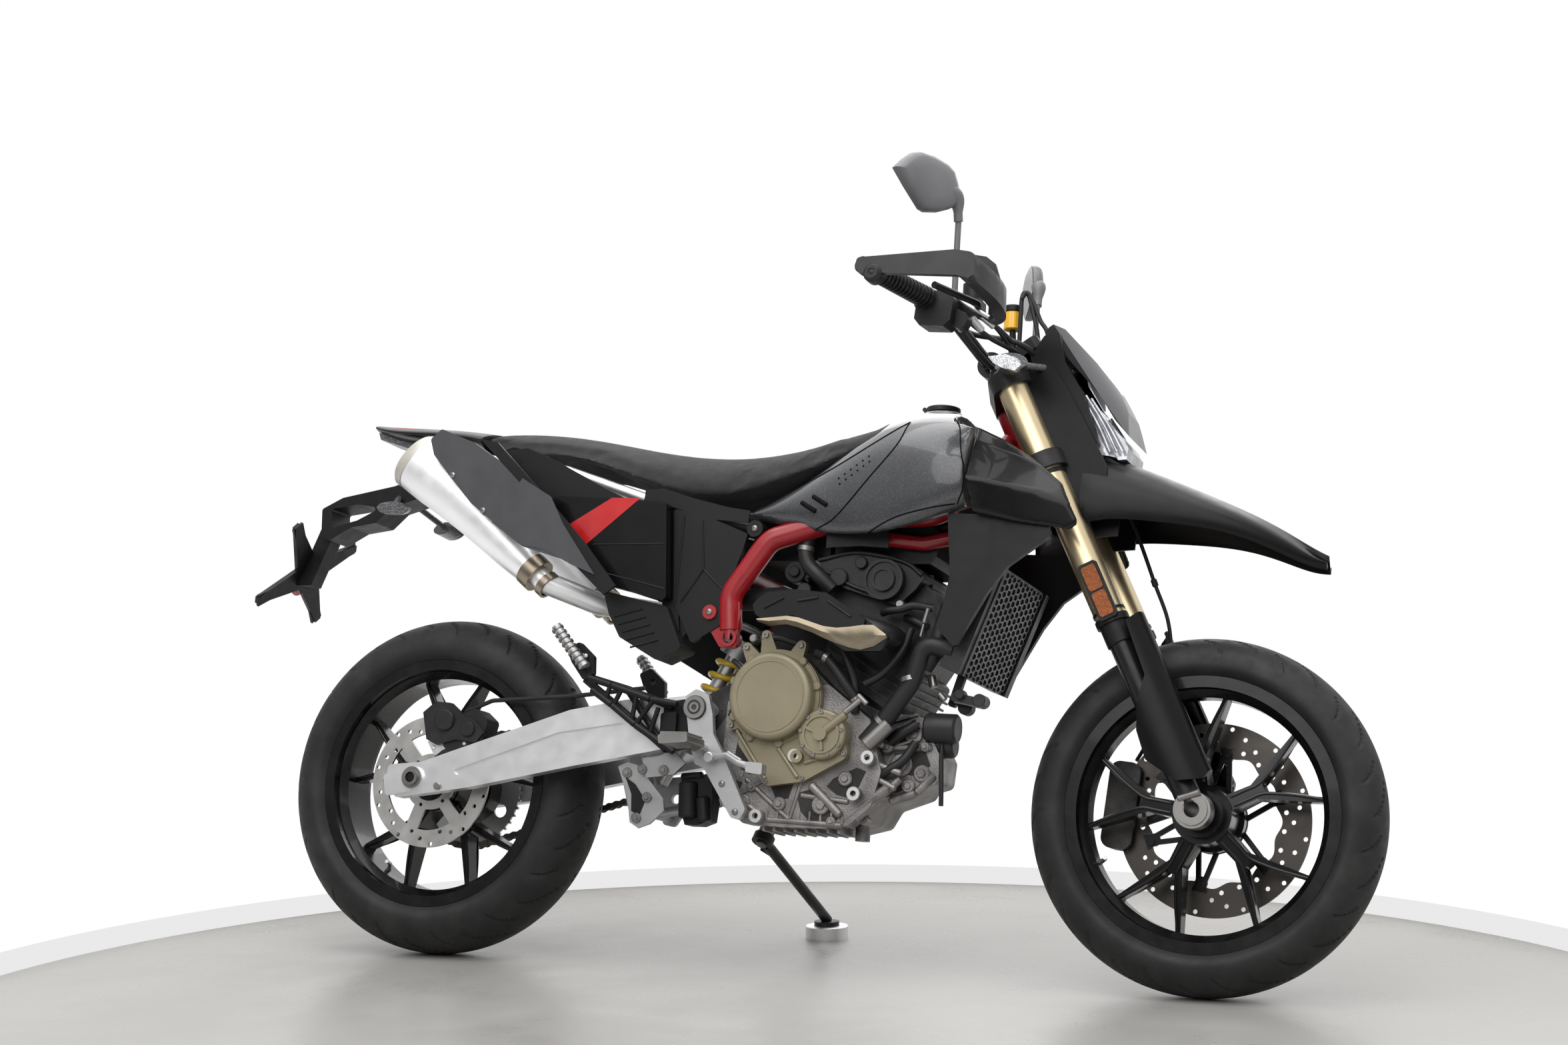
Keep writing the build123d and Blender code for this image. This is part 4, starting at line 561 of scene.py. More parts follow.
LAMP_GLASS = Finish("lamp glass", "lens", (0.42, 0.43, 0.46), 0.12, metallic=0.3, coat=1, tone=0.55,
                    tone_scale=26, grain_scale=90, grain_depth=0.3)
SILVER_LENS = Finish("lamp reflector", "lens", (0.62, 0.63, 0.65), 0.2, metallic=0.6, tone=0.3, coat=0.8,
                     tone_scale=60, grain=Grain.CREASED, grain_scale=260, grain_depth=0.4)
RED_LENS = Finish("red lens", "lens", (0.30, 0.006, 0.006), 0.12, coat=0.6, grain=Grain.CREASED,
                  grain_scale=260, grain_depth=0.3)
AMBER = Finish("amber reflector", "lens", (0.22, 0.050, 0.0008), 0.34, coat=0.12, shine=0.3,
               grain=Grain.CREASED, tone=0.35, tone_scale=120, grain_scale=300, grain_depth=0.4)
AMBER_FLUID = Finish("amber fluid cup", "lens", (0.68, 0.36, 0.02), 0.18, coat=0.6, grain_scale=100)
STRIPE_RED = Finish("red stripe", "red_paint", (0.42, 0.008, 0.010), 0.26, coat=0.5, tone=0.1, grain_scale=60,
                    grain_depth=0.02)
END_CAP = Finish("cream end cap", "silver_metal", (0.50, 0.48, 0.43), 0.4, metallic=0.35, grain=Grain.CAST,
                 grain_scale=600, grain_depth=0.2)
MIRROR_GLASS = Finish("mirror glass", "steel", (0.05, 0.052, 0.056), 0.08, metallic=0.2, shine=0.6, tone=0.03,
                      grain_scale=50, grain_depth=0.005, rough_spread=0.01)
SCREEN_GLASS = Finish("display glass", "lens", (0.006, 0.006, 0.007), 0.1, coat=0.8, grain_scale=40,
                      grain_depth=0.01, rough_spread=0.02)
SEAM = Finish("dark seam", "matt_black", (0.002, 0.002, 0.002), 0.7, grain_scale=300, shine=0.1)

NODE_FINISH = {
    "main_frame": RED_PAINT, "subframe": ALLOY, "swingarm": ALLOY, "shock": STEEL, "linkage": LINK_ALLOY,
    "engine_cases": ENGINE_GREY, "cylinder_head": ENGINE_BLACK, "engine_covers": BRONZE,
    "gearbox_sprocket": STEEL, "footrest_plates": CAST_ALLOY, "foot_pedals": CAST_ALLOY,
    "passenger_brackets": MATT_BLACK, "passenger_footrests": CAST_ALLOY, "rear_caliper": ENGINE_BLACK,
    "fuel_tank": GREY_PAINT, "front_shrouds": GLOSS_BLACK, "radiator_shrouds": MATT_BLACK,
    "radiator": ENGINE_BLACK, "side_panels": GLOSS_BLACK, "airbox_covers": MATT_BLACK,
    "tail_unit": GLOSS_BLACK, "exhaust": SILENCER, "silencer_covers": SATIN_GREY,
    "heat_shield": MATT_BLACK, "plate_hanger": MATT_BLACK, "rear_lamps": DULL_LENS,
    "coolant_hoses": RUBBER, "stand_puck": ALLOY, "triple_clamps": ENGINE_BLACK,
    "handlebar": ENGINE_BLACK, "grips": RUBBER, "hand_guards": DARK_PLASTIC,
    "bar_controls": ENGINE_BLACK, "mirrors": SHELL_GREY, "dash": MATT_BLACK,
    "headlight": LAMP_GLASS, "headlight_cowl": COWL_BLACK, "beak": GLOSS_BLACK,
    "fork_tubes": GOLD, "fork_legs": DULL_STEEL, "fork_guards": COWL_BLACK,
    "front_caliper": CASE_SHADE, "front_indicators": DULL_LENS, "front_disc": FRONT_DISC,
    "rear_disc": REAR_DISC, "rear_sprocket": STEEL, "side_stand": ENGINE_BLACK,
    "fuel_cap": ENGINE_BLACK, "front_rim": WHEEL_BLACK, "rear_rim": WHEEL_BLACK,
}


def paint_nodes() -> None:
    """Gives every CAD node that stays visible its finish."""
    for name, finish in NODE_FINISH.items():
        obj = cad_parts.get(name)
        if obj is None:
            continue
        obj.data.materials.clear()
        obj.data.materials.append(finish.material())


def split_finish(node: str, finish: Finish, chosen: Callable[[Vector, Vector], bool]) -> None:
    """Gives a second finish to the faces of a CAD node whose upright middle and normal a test picks."""
    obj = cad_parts[node]
    obj.data.materials.append(finish.material())
    back = BIKE.lean.transposed()
    for polygon in obj.data.polygons:
        if chosen(back @ (polygon.center / MM - BIKE.shift), back @ polygon.normal):
            polygon.material_index = len(obj.data.materials) - 1


# ------------------------------------------------------------------ studio
@dataclass
class Studio:
    """The pale floor, soft lights, world and camera."""

    camera_at: Point = (2299, -3983, 776)
    heading: float = math.radians(21.69)
    pitch: float = math.radians(0.285)
    roll: float = math.radians(-0.769)
    lens: float = 55.9
    disc_at: tuple[float, float] = (839, -313)
    disc_r: float = 1490
    rim_h: float = 35

    def build(self) -> None:
        """Makes everything that isn't part of the machine."""
        scene = bpy.context.scene
        scene.view_settings.view_transform = "Standard"
        self._camera(scene)
        self._world(scene)
        self._lights()
        self._floor()

    def _ground(self, x: float, y: float, z: float) -> Vector:
        """A point of the level ground frame, in the row frame."""
        return (Vector((x, y, z)) + BIKE.shift) * MM

    def _camera(self, scene: bpy.types.Scene) -> None:
        """Places the camera."""
        data = bpy.data.cameras.new("camera")
        data.lens = self.lens
        data.sensor_width = 36
        camera = linked("camera", data)
        ahead = Vector((-math.sin(self.heading) * math.cos(self.pitch),
                        math.cos(self.heading) * math.cos(self.pitch), math.sin(self.pitch)))
        right = Vector((math.cos(self.heading), math.sin(self.heading), 0))
        up = right.cross(ahead)
        side = right * math.cos(self.roll) + up * math.sin(self.roll)
        top = up * math.cos(self.roll) - right * math.sin(self.roll)
        basis = Matrix((side, top, -ahead)).transposed().to_4x4()
        camera.matrix_world = Matrix.Translation(self._ground(*self.camera_at)) @ basis
        scene.camera = camera

    def _world(self, scene: bpy.types.Scene) -> None:
        """A pale studio: white to the camera, brighter above than at the sides."""
        world = scene.world = bpy.data.worlds.new("studio")
        world.use_nodes = True
        tree = world.node_tree
        around = node(tree, "ShaderNodeTexCoord").outputs["Generated"]
        split = node(tree, "ShaderNodeSeparateXYZ", {"Vector": around}).outputs
        height, wall = (
            node(tree, "ShaderNodeMapRange", {"From Min": start, "From Max": end, "To Min": low,
                                              "To Max": high, "Value": split[axis]}).outputs["Result"]
            for axis, start, end, low, high in (("Z", 0.05, 0.85, 0.14, 1), ("Y", -0.1, 0.8, 0, 0.55)))
        both = node(tree, "ShaderNodeMath", {0: height, 1: wall}, operation="ADD")
        path = node(tree, "ShaderNodeLightPath")
        seen = node(tree, "ShaderNodeMix", {"Factor": path.outputs["Is Camera Ray"],
                                            "A": both.outputs["Value"], "B": 1})
        feed(tree, tree.nodes["Background"], {"Color": (1, 1, 1, 1), "Strength": seen.outputs["Result"]})

    def _lights(self) -> None:
        """Large soft lamps above and at the sides."""
        lamps = (("key", (900, -2700, 3300), 4400, 105, True),
                 ("top", (600, 200, 3500), 3600, 70, True),
                 ("fill", (-2600, -1700, 1900), 1700, 22, False),
                 ("nose", (3300, -900, 2000), 1700, 24, False),
                 ("rear", (400, 2900, 2400), 2600, 30, True))
        for name, place, size, power, mirrored_too in lamps:
            data = bpy.data.lights.new(name, "AREA")
            data.shape = "DISK"
            data.size = size * MM
            data.energy = power
            lamp = linked(name, data)
            lamp.location = self._ground(*place)
            lamp.visible_glossy = mirrored_too
            aim = self._ground(700, 100, 550) - lamp.location
            lamp.rotation_euler = aim.to_track_quat("-Z", "Y").to_euler()

    def _floor(self) -> None:
        """A grey disc with a low pale rim, on a white ground."""
        steps = 128
        ring = [(math.cos(2 * math.pi * k / steps), math.sin(2 * math.pi * k / steps)) for k in range(steps)]
        x0, y0 = self.disc_at
        disc = self._flat("floor_disc", [(x0 + self.disc_r * c, y0 + self.disc_r * s, 0) for c, s in ring],
                          [list(range(steps))], self._floor_finish())
        rows = ((self.disc_r, 0), (self.disc_r, self.rim_h), (self.disc_r + 24, self.rim_h))
        verts = [(x0 + r * c, y0 + r * s, z) for r, z in rows for c, s in ring]
        rim = self._flat("floor_rim", verts, quads(3, steps), self._white("floor rim", 0.80, 0.82))
        far = 40000
        rows2 = (self.disc_r + 24, far)
        verts = [(x0 + r * c, y0 + r * s, self.rim_h) for r in rows2 for c, s in ring]
        ground = self._flat("floor_ground", verts, quads(2, steps), self._white("white ground", 0.55, 1))

    def _flat(self, name: str, verts: Sequence[Point], faces: Sequence[Sequence[int]],
              mat: bpy.types.Material) -> bpy.types.Object:
        """A stage mesh in the level ground frame."""
        mesh = bpy.data.meshes.new(name)
        mesh.from_pydata([self._ground(*v) for v in verts], [], faces)
        mesh.materials.append(mat)
        return linked(name, mesh)

    @staticmethod
    def _white(name: str, colour: float, shown: float) -> bpy.types.Material:
        """A white surface that the camera and mirrors see at one even level."""
        mat = bpy.data.materials.new(name)
        mat.use_nodes = True
        tree = mat.node_tree
        shader = tree.nodes["Principled BSDF"]
        feed(tree, shader, {"Base Color": (colour, colour, colour, 1), "Roughness": 0.8})
        glow = node(tree, "ShaderNodeEmission", {"Color": (shown, shown, shown, 1)})
        path = node(tree, "ShaderNodeLightPath")
        mix = node(tree, "ShaderNodeMixShader", {"Fac": path.outputs["Is Camera Ray"],
                                                 1: shader.outputs["BSDF"], 2: glow.outputs["Emission"]})
        feed(tree, tree.nodes["Material Output"], {"Surface": mix.outputs["Shader"]})
        return mat

    @staticmethod
    def _floor_finish() -> bpy.types.Material:
        """A pale grey sealed floor with faint scuffs."""
        return Finish("sealed grey floor", "", (0.29, 0.282, 0.268), 0.32, tone=0.06, tone_scale=1.4,
                      grain_scale=30, grain_depth=0.2, rough_spread=0.1).material()


# ------------------------------------------------------------------ wheels
@dataclass
class Tyre:
    """A road tyre with a round crown and slanted grooves."""

    name: str
    axle: Vector
    radius: float
    half: float
    rim_half: float
    grooves: int
    body: Body
    first: float = 0
    lip: float = 231
    low: float = 218.8
    steps: int = 1080
    depth: float = 4.4
    groove_half: float = 2.9

    def profile(self) -> list[tuple[float, float]]:
        """The closed (radius, y) section, right edge to left edge and back inside."""
        shoulder = self.radius - (self.radius - self.lip) * 0.74
        side = []
        for k in range(21):
            angle = math.pi / 2 * k / 20
            side.append((shoulder + (self.radius - shoulder) * math.cos(angle), self.half * math.sin(angle)))
        for k in range(1, 6):
            t = k / 5
            side.append((shoulder + (self.lip + 0.5 - shoulder) * t,
                         self.half - (self.half - self.rim_half + 0.6) * t * t))
        bead = self.rim_half - 5.5
        side += [(self.lip + 0.5, bead), (self.low, bead)]
        return [(r, -y) for r, y in reversed(side[1:])] + side

    def groove(self, angle: float, y: float) -> float:
        """How much of the groove's depth a point of the tread has."""
        side = 1 if y >= 0 else -1
        reach = abs(y) / self.half
        best = 0
        pitch = 2 * math.pi / self.grooves
        for start, end, sweep, shift in ((0.14, 0.80, 0.62, 0), (0.45, 0.93, 0.34, 0.5)):
            if not start < reach < end:
                continue
            t = (reach - start) / (end - start)
            middle = (shift + (0.25 if side > 0 else 0)) * pitch + sweep * pitch * (1 - t) ** 1.5
            off = (angle - self.first - middle + pitch / 2) % pitch - pitch / 2
            across = abs(off) * self.radius * 0.72
            fade = min(1, 6 * t, 6 * (1 - t))
            best = max(best, max(0, 1 - (across / self.groove_half) ** 4) * fade)
        return best

    def build(self) -> bpy.types.Object:
        """Makes the tyre in place of its CAD solid."""
        def sunk(angle: float, y: float, radius: float) -> float:
            if radius < self.lip + 8:
                return radius
            return radius - self.depth * self.groove(angle, y)
        verts, faces = lathe(self.axle, self.profile(), self.steps, sunk)
        obj = new_piece(self.name + "_rubber", verts, faces, sharp=32)
        dress(obj, TYRE_RUBBER, self.body)
        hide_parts(self.name)
        return obj


@dataclass
class WheelFittings:
    """Valve stems."""

    def build(self) -> None:
        """Makes both wheels' small pieces."""
        for body, axle, angle in ((Body.FRONT_WHEEL, BIKE.FRONT_AXLE, 205),
                                  (Body.REAR_WHEEL, BIKE.REAR_AXLE, 235)):
            a = math.radians(angle)
            out = spoke(a)
            base = axle + out * 199
            path = [base + out * 6, base, base - out * 14 + Vector((0, -10, 0)),
                    base - out * 18 + Vector((0, -28, 0))]
            verts, faces = tube(path, lambda t: 5 if t < 0.4 else 3.6)
            dress(new_piece(body.value + "_valve", verts, faces), STEEL, body)


# ------------------------------------------------------------------ drive chain
@dataclass
class DriveChain:
    """A roller chain of separate links round both sprockets."""

    pitch: float = 15.875
    rear_teeth: int = 42
    front_teeth: int = 15
    gearbox: tuple[float, float] = (640, 440)
    line_y: float = 96

    def loop(self) -> list[tuple[float, float, float]]:
        """(x, z, heading) of evenly spaced pins round the loop."""
        big = self.pitch / (2 * math.sin(math.pi / self.rear_teeth))
        small = self.pitch / (2 * math.sin(math.pi / self.front_teeth))
        rear = (BIKE.REAR_AXLE.x, BIKE.REAR_AXLE.z)
        dx, dz = self.gearbox[0] - rear[0], self.gearbox[1] - rear[1]
        span, heading = math.hypot(dx, dz), math.atan2(dz, dx)
        tilt = math.asin((big - small) / span)
        run = math.sqrt(span ** 2 - (big - small) ** 2)
        up, down = heading + math.pi / 2 - tilt, heading - math.pi / 2 + tilt
        front_arc = (math.pi - 2 * tilt) * small
        rear_arc = (math.pi + 2 * tilt) * big
        total = 2 * run + front_arc + rear_arc
        count = 2 * round(total / self.pitch / 2)
        spots = []
        for n in range(count):
            s = total * n / count
            if s < run:
                t, angle = s / run, up
                a = (rear[0] + big * math.cos(up), rear[1] + big * math.sin(up))
                b = (self.gearbox[0] + small * math.cos(up), self.gearbox[1] + small * math.sin(up))
                spots.append((a[0] + (b[0] - a[0]) * t, a[1] + (b[1] - a[1]) * t, angle - math.pi / 2))
            elif s < run + front_arc:
                angle = up - (s - run) / small
                spots.append((self.gearbox[0] + small * math.cos(angle),
                              self.gearbox[1] + small * math.sin(angle), angle - math.pi / 2))
            elif s < 2 * run + front_arc:
                t = (s - run - front_arc) / run
                a = (self.gearbox[0] + small * math.cos(down), self.gearbox[1] + small * math.sin(down))
                b = (rear[0] + big * math.cos(down), rear[1] + big * math.sin(down))
                spots.append((a[0] + (b[0] - a[0]) * t, a[1] + (b[1] - a[1]) * t, down - math.pi / 2))
            else:
                angle = down - (s - 2 * run - front_arc) / big
                spots.append((rear[0] + big * math.cos(angle), rear[1] + big * math.sin(angle),
                              angle - math.pi / 2))
        return spots

    def _side_plate(self, y_low: float, y_high: float, waist: float) -> Part:
        """One figure-of-eight plate about its own middle, in the stamp's x and z-up frame."""
        half, eye = self.pitch / 2, 6.6
        shape = [(half + eye * math.cos(math.radians(a)), eye * math.sin(math.radians(a)))
                 for a in (-100, -60, -20, 20, 60, 100)]
        shape += [(0, waist)]
        shape += [(-x, y) for x, y in reversed(shape[:6])]
        shape += [(0, -waist)]
        return [(x, z, y) for y in (y_low, y_high) for x, z in shape], prism(len(shape))

    def _link(self, name: str, inner: float) -> bpy.types.Object:
        """A stamp of one link: two plates with their pins and rollers."""
        parts = [self._side_plate(inner, inner + 1.8, 4.6), self._side_plate(-inner - 1.8, -inner, 4.6)]
        for x in (-self.pitch / 2, self.pitch / 2):
            for radius, reach in ((2.6, inner + 2.6), (4.8, 3.4)):
                ring = [(x + radius * math.cos(math.pi * k / 4), radius * math.sin(math.pi * k / 4))
                        for k in range(8)]
                parts.append(([(a, b, y) for y in (-reach, reach) for a, b in ring], prism(8)))
        return stamp(name, join_parts(parts))

    def build(self, repeater: Repeater) -> None:
        """Makes the links in place of the CAD loop."""
        pins = self.loop()
        count = len(pins)
        groups: dict[str, list[tuple[Point, Point, Point, float]]] = {"outer": [], "inner": []}
        for n in range(count):
            x0, z0, _ = pins[n]
            x1, z1, _ = pins[(n + 1) % count]
            across = (x1 - x0, 0, z1 - z0)
            middle = ((x0 + x1) / 2, self.line_y, (z0 + z1) / 2)
            groups["outer" if n % 2 else "inner"].append((middle, (0, -1, 0), across, 1))
        for name, inner in (("outer", 5.6), ("inner", 3.6)):
            repeater.spread("chain_links_" + name, self._link("link_" + name, inner),
                                        groups[name], CHAIN_STEEL, Body.CHASSIS, "steel")
        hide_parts("chain")


# ------------------------------------------------------------------ rear spring
@dataclass
class ShockSpring:
    """The yellow coil between the shock's collars."""

    top: Point = (596, -30, 590)
    foot: Point = (452, -30, 330)
    start: float = 37
    end: float = 208
    coil_r: float = 22.5
    wire_r: float = 5.2
    turns: float = 6

    def build(self) -> None:
        """Makes the coil in place of the CAD sleeve."""
        top, foot = Vector(self.top), Vector(self.foot)
        axis = (foot - top).normalized()
        side = axis.cross(LEFT).normalized()
        other = axis.cross(side)
        count = int(self.turns * 24)
        path = []
        for k in range(count + 1):
            t = k / count
            angle = 2 * math.pi * self.turns * t
            rise = self.start + self.wire_r + (self.end - self.start - 2 * self.wire_r) * t
            path.append(top + axis * rise + (side * math.cos(angle) + other * math.sin(angle)) * self.coil_r)
        verts, faces = tube(path, self.wire_r, 10)
        coil = dress(new_piece("spring_coil", verts, faces), SPRING_YELLOW, Body.CHASSIS)
        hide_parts("shock_spring")


# ------------------------------------------------------------------ seat
@dataclass
class SeatPad:
    """The padded seat, swelled by a cloth simulation from the CAD seat's form."""

    voxel: float = 0.0065
    inset: float = 0.004
    pressure: float = 3.5
    frames: int = 18
    cap: float = 0.006

    def build(self) -> None:
        """Makes the pad in place of the CAD seat."""
        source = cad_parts["seat"]
        obj = linked("seat_pad", source.data.copy())
        tidy(obj)
        remeshed(obj, self.voxel, 6)
        bm = bmesh.new()
        bm.from_mesh(obj.data)
        bm.normal_update()
        for vert in bm.verts:
            vert.co -= vert.normal * self.inset
        bm.to_mesh(obj.data)
        bm.free()
        self._swell(obj)
        for polygon in obj.data.polygons:
            polygon.use_smooth = True
        dress(obj, SEAT_CLOTH, Body.CHASSIS)
        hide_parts("seat")

    def _swell(self, obj: bpy.types.Object) -> None:
        """Runs the cloth simulation and limits how far any point moves."""
        start = np.empty(len(obj.data.vertices) * 3)
        obj.data.vertices.foreach_get("co", start)
        cloth = obj.modifiers.new("cloth", "CLOTH")
        cloth.settings.use_pressure = True
        cloth.settings.uniform_pressure_force = self.pressure
        cloth.settings.effector_weights.gravity = 0
        cloth.settings.quality = 4
        cloth.settings.tension_stiffness = 25
        scene = bpy.context.scene
        for number in range(1, self.frames + 1):
            scene.frame_set(number)
        baked(obj)
        scene.frame_set(1)
        end = np.empty_like(start)
        obj.data.vertices.foreach_get("co", end)
        move = (end - start).reshape(-1, 3)
        length = np.linalg.norm(move, axis=1, keepdims=True)
        move *= np.minimum(1, self.cap / np.maximum(length, 1e-9))
        obj.data.vertices.foreach_set("co", (start.reshape(-1, 3) + move).ravel())
        obj.data.update()


# ------------------------------------------------------------------ radiator guard
@dataclass
class RadiatorGuard:
    """The honeycomb grille in front of the radiator."""

    low: tuple[float, float] = (1046, 516)
    high: tuple[float, float] = (1116, 702)
    half: float = 122
    cell: float = 12.6
    wall: float = 2.8
    stretch: float = 1.9
    lift: float = -3

    def build(self, repeater: Repeater) -> None:
        """Sets hexagonal rings over the guard's plane."""
        low, high = Vector((self.low[0], 0, self.low[1])), Vector((self.high[0], 0, self.high[1]))
        rise = high - low
        up = rise.normalized()
        ahead = LEFT.cross(up).normalized()
        outer, inner = self.cell / math.sqrt(3), (self.cell - self.wall) / math.sqrt(3)
        verts: list[Point] = []
        for radius, z in ((outer, 0), (inner, 0), (inner, -2.5), (outer, -2.5)):
            verts += [(radius * self.stretch * math.cos(a), radius * math.sin(a), z)
                      for a in (math.pi / 3 * k for k in range(6))]
        shape = stamp("guard_cell", (verts, quads(4, 6, True)))
        spots = []
        column_gap, row_gap = self.stretch * self.cell * math.sqrt(3) / 2, self.cell
        columns = int(self.half / column_gap)
        rows = int(rise.length / row_gap)
        for i in range(-columns, columns + 1):
            for j in range(rows):
                y = i * column_gap
                z = (j + (0.5 if i % 2 else 0) + 0.5) * row_gap
                if z > rise.length - 4:
                    continue
                place = low + up * z + ahead * self.lift
                spots.append(((place.x, y, place.z), tuple(ahead), (0, 1, 0), 1))
        repeater.spread("radiator_mesh", shape, spots, SATIN_GREY, Body.CHASSIS, "matt_black")


# ------------------------------------------------------------------ small fixed pieces
def block(centre: Place, ahead: Place, up: Place, size: Point, edge: float = 1.5) -> Part:
    """A box with chamfered long edges, from its middle, two directions and full sizes."""
    centre, ahead, up = Vector(centre), Vector(ahead).normalized(), Vector(up).normalized()
    side = up.cross(ahead)
    half = Vector(size) / 2
    ring = [(half.x, half.z - edge), (half.x - edge, half.z), (edge - half.x, half.z),
            (-half.x, half.z - edge), (-half.x, edge - half.z), (edge - half.x, -half.z),
            (half.x - edge, -half.z), (half.x, edge - half.z)]
    verts = [tuple(centre + ahead * a + side * y + up * b) for y in (-half.y, half.y) for a, b in ring]
    return verts, prism(8)


def cup(low: Place, high: Place, radius: float, sides: int = 24, edge: float = 1.5) -> Part:
    """A round bar between two points with a small chamfer at both ends."""
    low, high = Vector(low), Vector(high)
    run = high - low
    step = run.normalized() * min(edge, run.length / 3)
    return tube([low, low + step, high - step, high],
                lambda t: radius - (edge if t < 0.01 or t > 0.99 else 0), sides)


def bar(start: Sequence[float], end: Sequence[float], y: float, *sizes: float) -> Part:
    """A cup between two (x, z) points, `y` across the machine."""
    return cup((start[0], y, start[1]), (end[0], y, end[1]), *sizes)


def spoke(angle: float, radius: float = 1) -> Vector:
    """A vector in the machine's side plane, `angle` up from forward."""
    return Vector((radius * math.cos(angle), 0, radius * math.sin(angle)))


def around(middle: Point, radius: float, angle: float) -> Point:
    """The point of the side plane at a radius and an angle about `middle`."""
    return (middle[0] + radius * math.cos(angle), middle[1], middle[2] + radius * math.sin(angle))


def band(centre: Place, axis: Place, outer: float, inner: float, width: float, sides: int = 32) -> Part:
    """A flat ring about an axis."""
    centre, axis = Vector(centre), Vector(axis).normalized()
    u = axis.cross(Vector((0.1, 0.9, 0.3))).normalized()
    v = axis.cross(u)
    verts: list[Point] = []
    for radius, rise in ((outer, -0.5), (outer, 0.5), (inner, 0.5), (inner, -0.5)):
        for k in range(sides):
            angle = 2 * math.pi * k / sides
            verts.append(tuple(centre + axis * rise * width + u * radius * math.cos(angle)
                               + v * radius * math.sin(angle)))
    return verts, quads(4, sides, True)


def sheet(rings: Sequence[Outline], holes: Outline,
          hole_r: float, centre: Vector, thick: float) -> Part:
    """A flat ring across the machine, between an outer and an inner polar outline, with round holes."""
    loops = [[Vector((r * math.cos(a), r * math.sin(a))) for r, a in ring] for ring in rings]
    for r, a in holes:
        middle = Vector((r * math.cos(a), r * math.sin(a)))
        loops.append([middle + Vector((math.cos(t), math.sin(t))) * hole_r
                      for t in (math.pi * k / 8 for k in range(16))])
    points, edges = [], []
    for loop in loops:
        base = len(points)
        points += loop
        edges += [(base + k, base + (k + 1) % len(loop)) for k in range(len(loop))]
    flat, _, cells, _, _, _ = delaunay_2d_cdt(points, edges, [], 0, 1e-6)
    keep = []
    for cell in cells:
        middle = sum((flat[k] for k in cell), Vector((0, 0))) / len(cell)
        near = min(rings[1], key=lambda ra: abs((math.atan2(middle.y, middle.x) - ra[1] + math.pi)
                                                % (2 * math.pi) - math.pi))
        free = all((middle - sum(loop, Vector((0, 0))) / 16).length > hole_r * 0.98 for loop in loops[2:])
        if middle.length > near[0] and free:
            keep.append(list(cell))
    count = len(flat)
    verts = [(centre.x + p.x, centre.y + side * thick / 2, centre.z + p.y) for side in (-1, 1) for p in flat]
    faces = [cell for cell in keep] + [[k + count for k in reversed(cell)] for cell in keep]
    base = 0
    for loop in loops:
        ids = [base + k for k in range(len(loop))]
        faces += [[a, b, b + count, a + count] for a, b in zip(ids, ids[1:] + ids[:1])]
        base += len(loop)
    return verts, faces


def arc_path(points: Sequence[Point], radius: float, steps: int = 8) -> list[Vector]:
    """Straight runs through points, joined by round bends."""
    pts = [Vector(p) for p in points]
    path = [pts[0]]
    for before, corner, after in zip(pts, pts[1:], pts[2:]):
        into, out = (before - corner).normalized(), (after - corner).normalized()
        half = into.angle(out) / 2
        back = min(radius / math.tan(half), (before - corner).length * 0.49, (after - corner).length * 0.49)
        start, end = corner + into * back, corner + out * back
        for k in range(steps + 1):
            path.append(start.lerp(corner, k / steps).lerp(corner.lerp(end, k / steps), k / steps))
    return path + [pts[-1]]


def loft(sections: Sequence[Sequence[Point]]) -> Part:
    """A closed solid skinned over rings of equal length, with flat ends."""
    count = len(sections[0])
    verts = [tuple(point) for ring in sections for point in ring]
    last = (len(sections) - 1) * count
    return verts, quads(len(sections), count) + [list(range(count))[::-1], [last + k for k in range(count)]]


def copied(node: str, name: str) -> bpy.types.Object:
    """A linked object with a copy of a CAD node's mesh."""
    return linked(name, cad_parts[node].data.copy())


def smoothed(node: str, finish: Finish, body: Body) -> None:
    """A merged copy of a moulded CAD node that shades as one skin, in the node's place."""
    obj = copied(node, node + "_skin")
    tidy(obj, True, SKIN_SHARP)
    dress(obj, finish, body)
    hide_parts(node)


def baked(obj: bpy.types.Object) -> None:
    """Replaces a mesh by its evaluated form and drops the modifiers."""
    bpy.context.view_layer.update()
    graph = bpy.context.evaluated_depsgraph_get()
    result = bpy.data.meshes.new_from_object(obj.evaluated_get(graph), depsgraph=graph)
    obj.modifiers.clear()
    obj.data = result


def remeshed(obj: bpy.types.Object, voxel: float, rounds: int) -> None:
    """Remeshes a closed piece evenly and smooths the steps away."""
    mod = obj.modifiers.new("even", "REMESH")
    mod.mode = "VOXEL"
    mod.voxel_size = voxel
    ease = obj.modifiers.new("ease", "SMOOTH")
    ease.factor = 0.5
    ease.iterations = rounds
    baked(obj)


def moulded(node: str, finish: Finish, body: Body, voxel: float, rounds: int) -> None:
    """A copy of a CAD node with softened edges and an even skin, in the node's place."""
    obj = copied(node, node + "_skin")
    tidy(obj)
    remeshed(obj, voxel, rounds)
    for polygon in obj.data.polygons:
        polygon.use_smooth = True
    dress(obj, finish, body)
    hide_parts(node)


def add(name: str, parts: Iterable[Part], finish: Finish, body: Body = Body.CHASSIS,
        smooth: bool = True) -> bpy.types.Object:
    """Joins parts into one dressed piece."""
    return dress(new_piece(name, *join_parts(parts), smooth=smooth), finish, body)


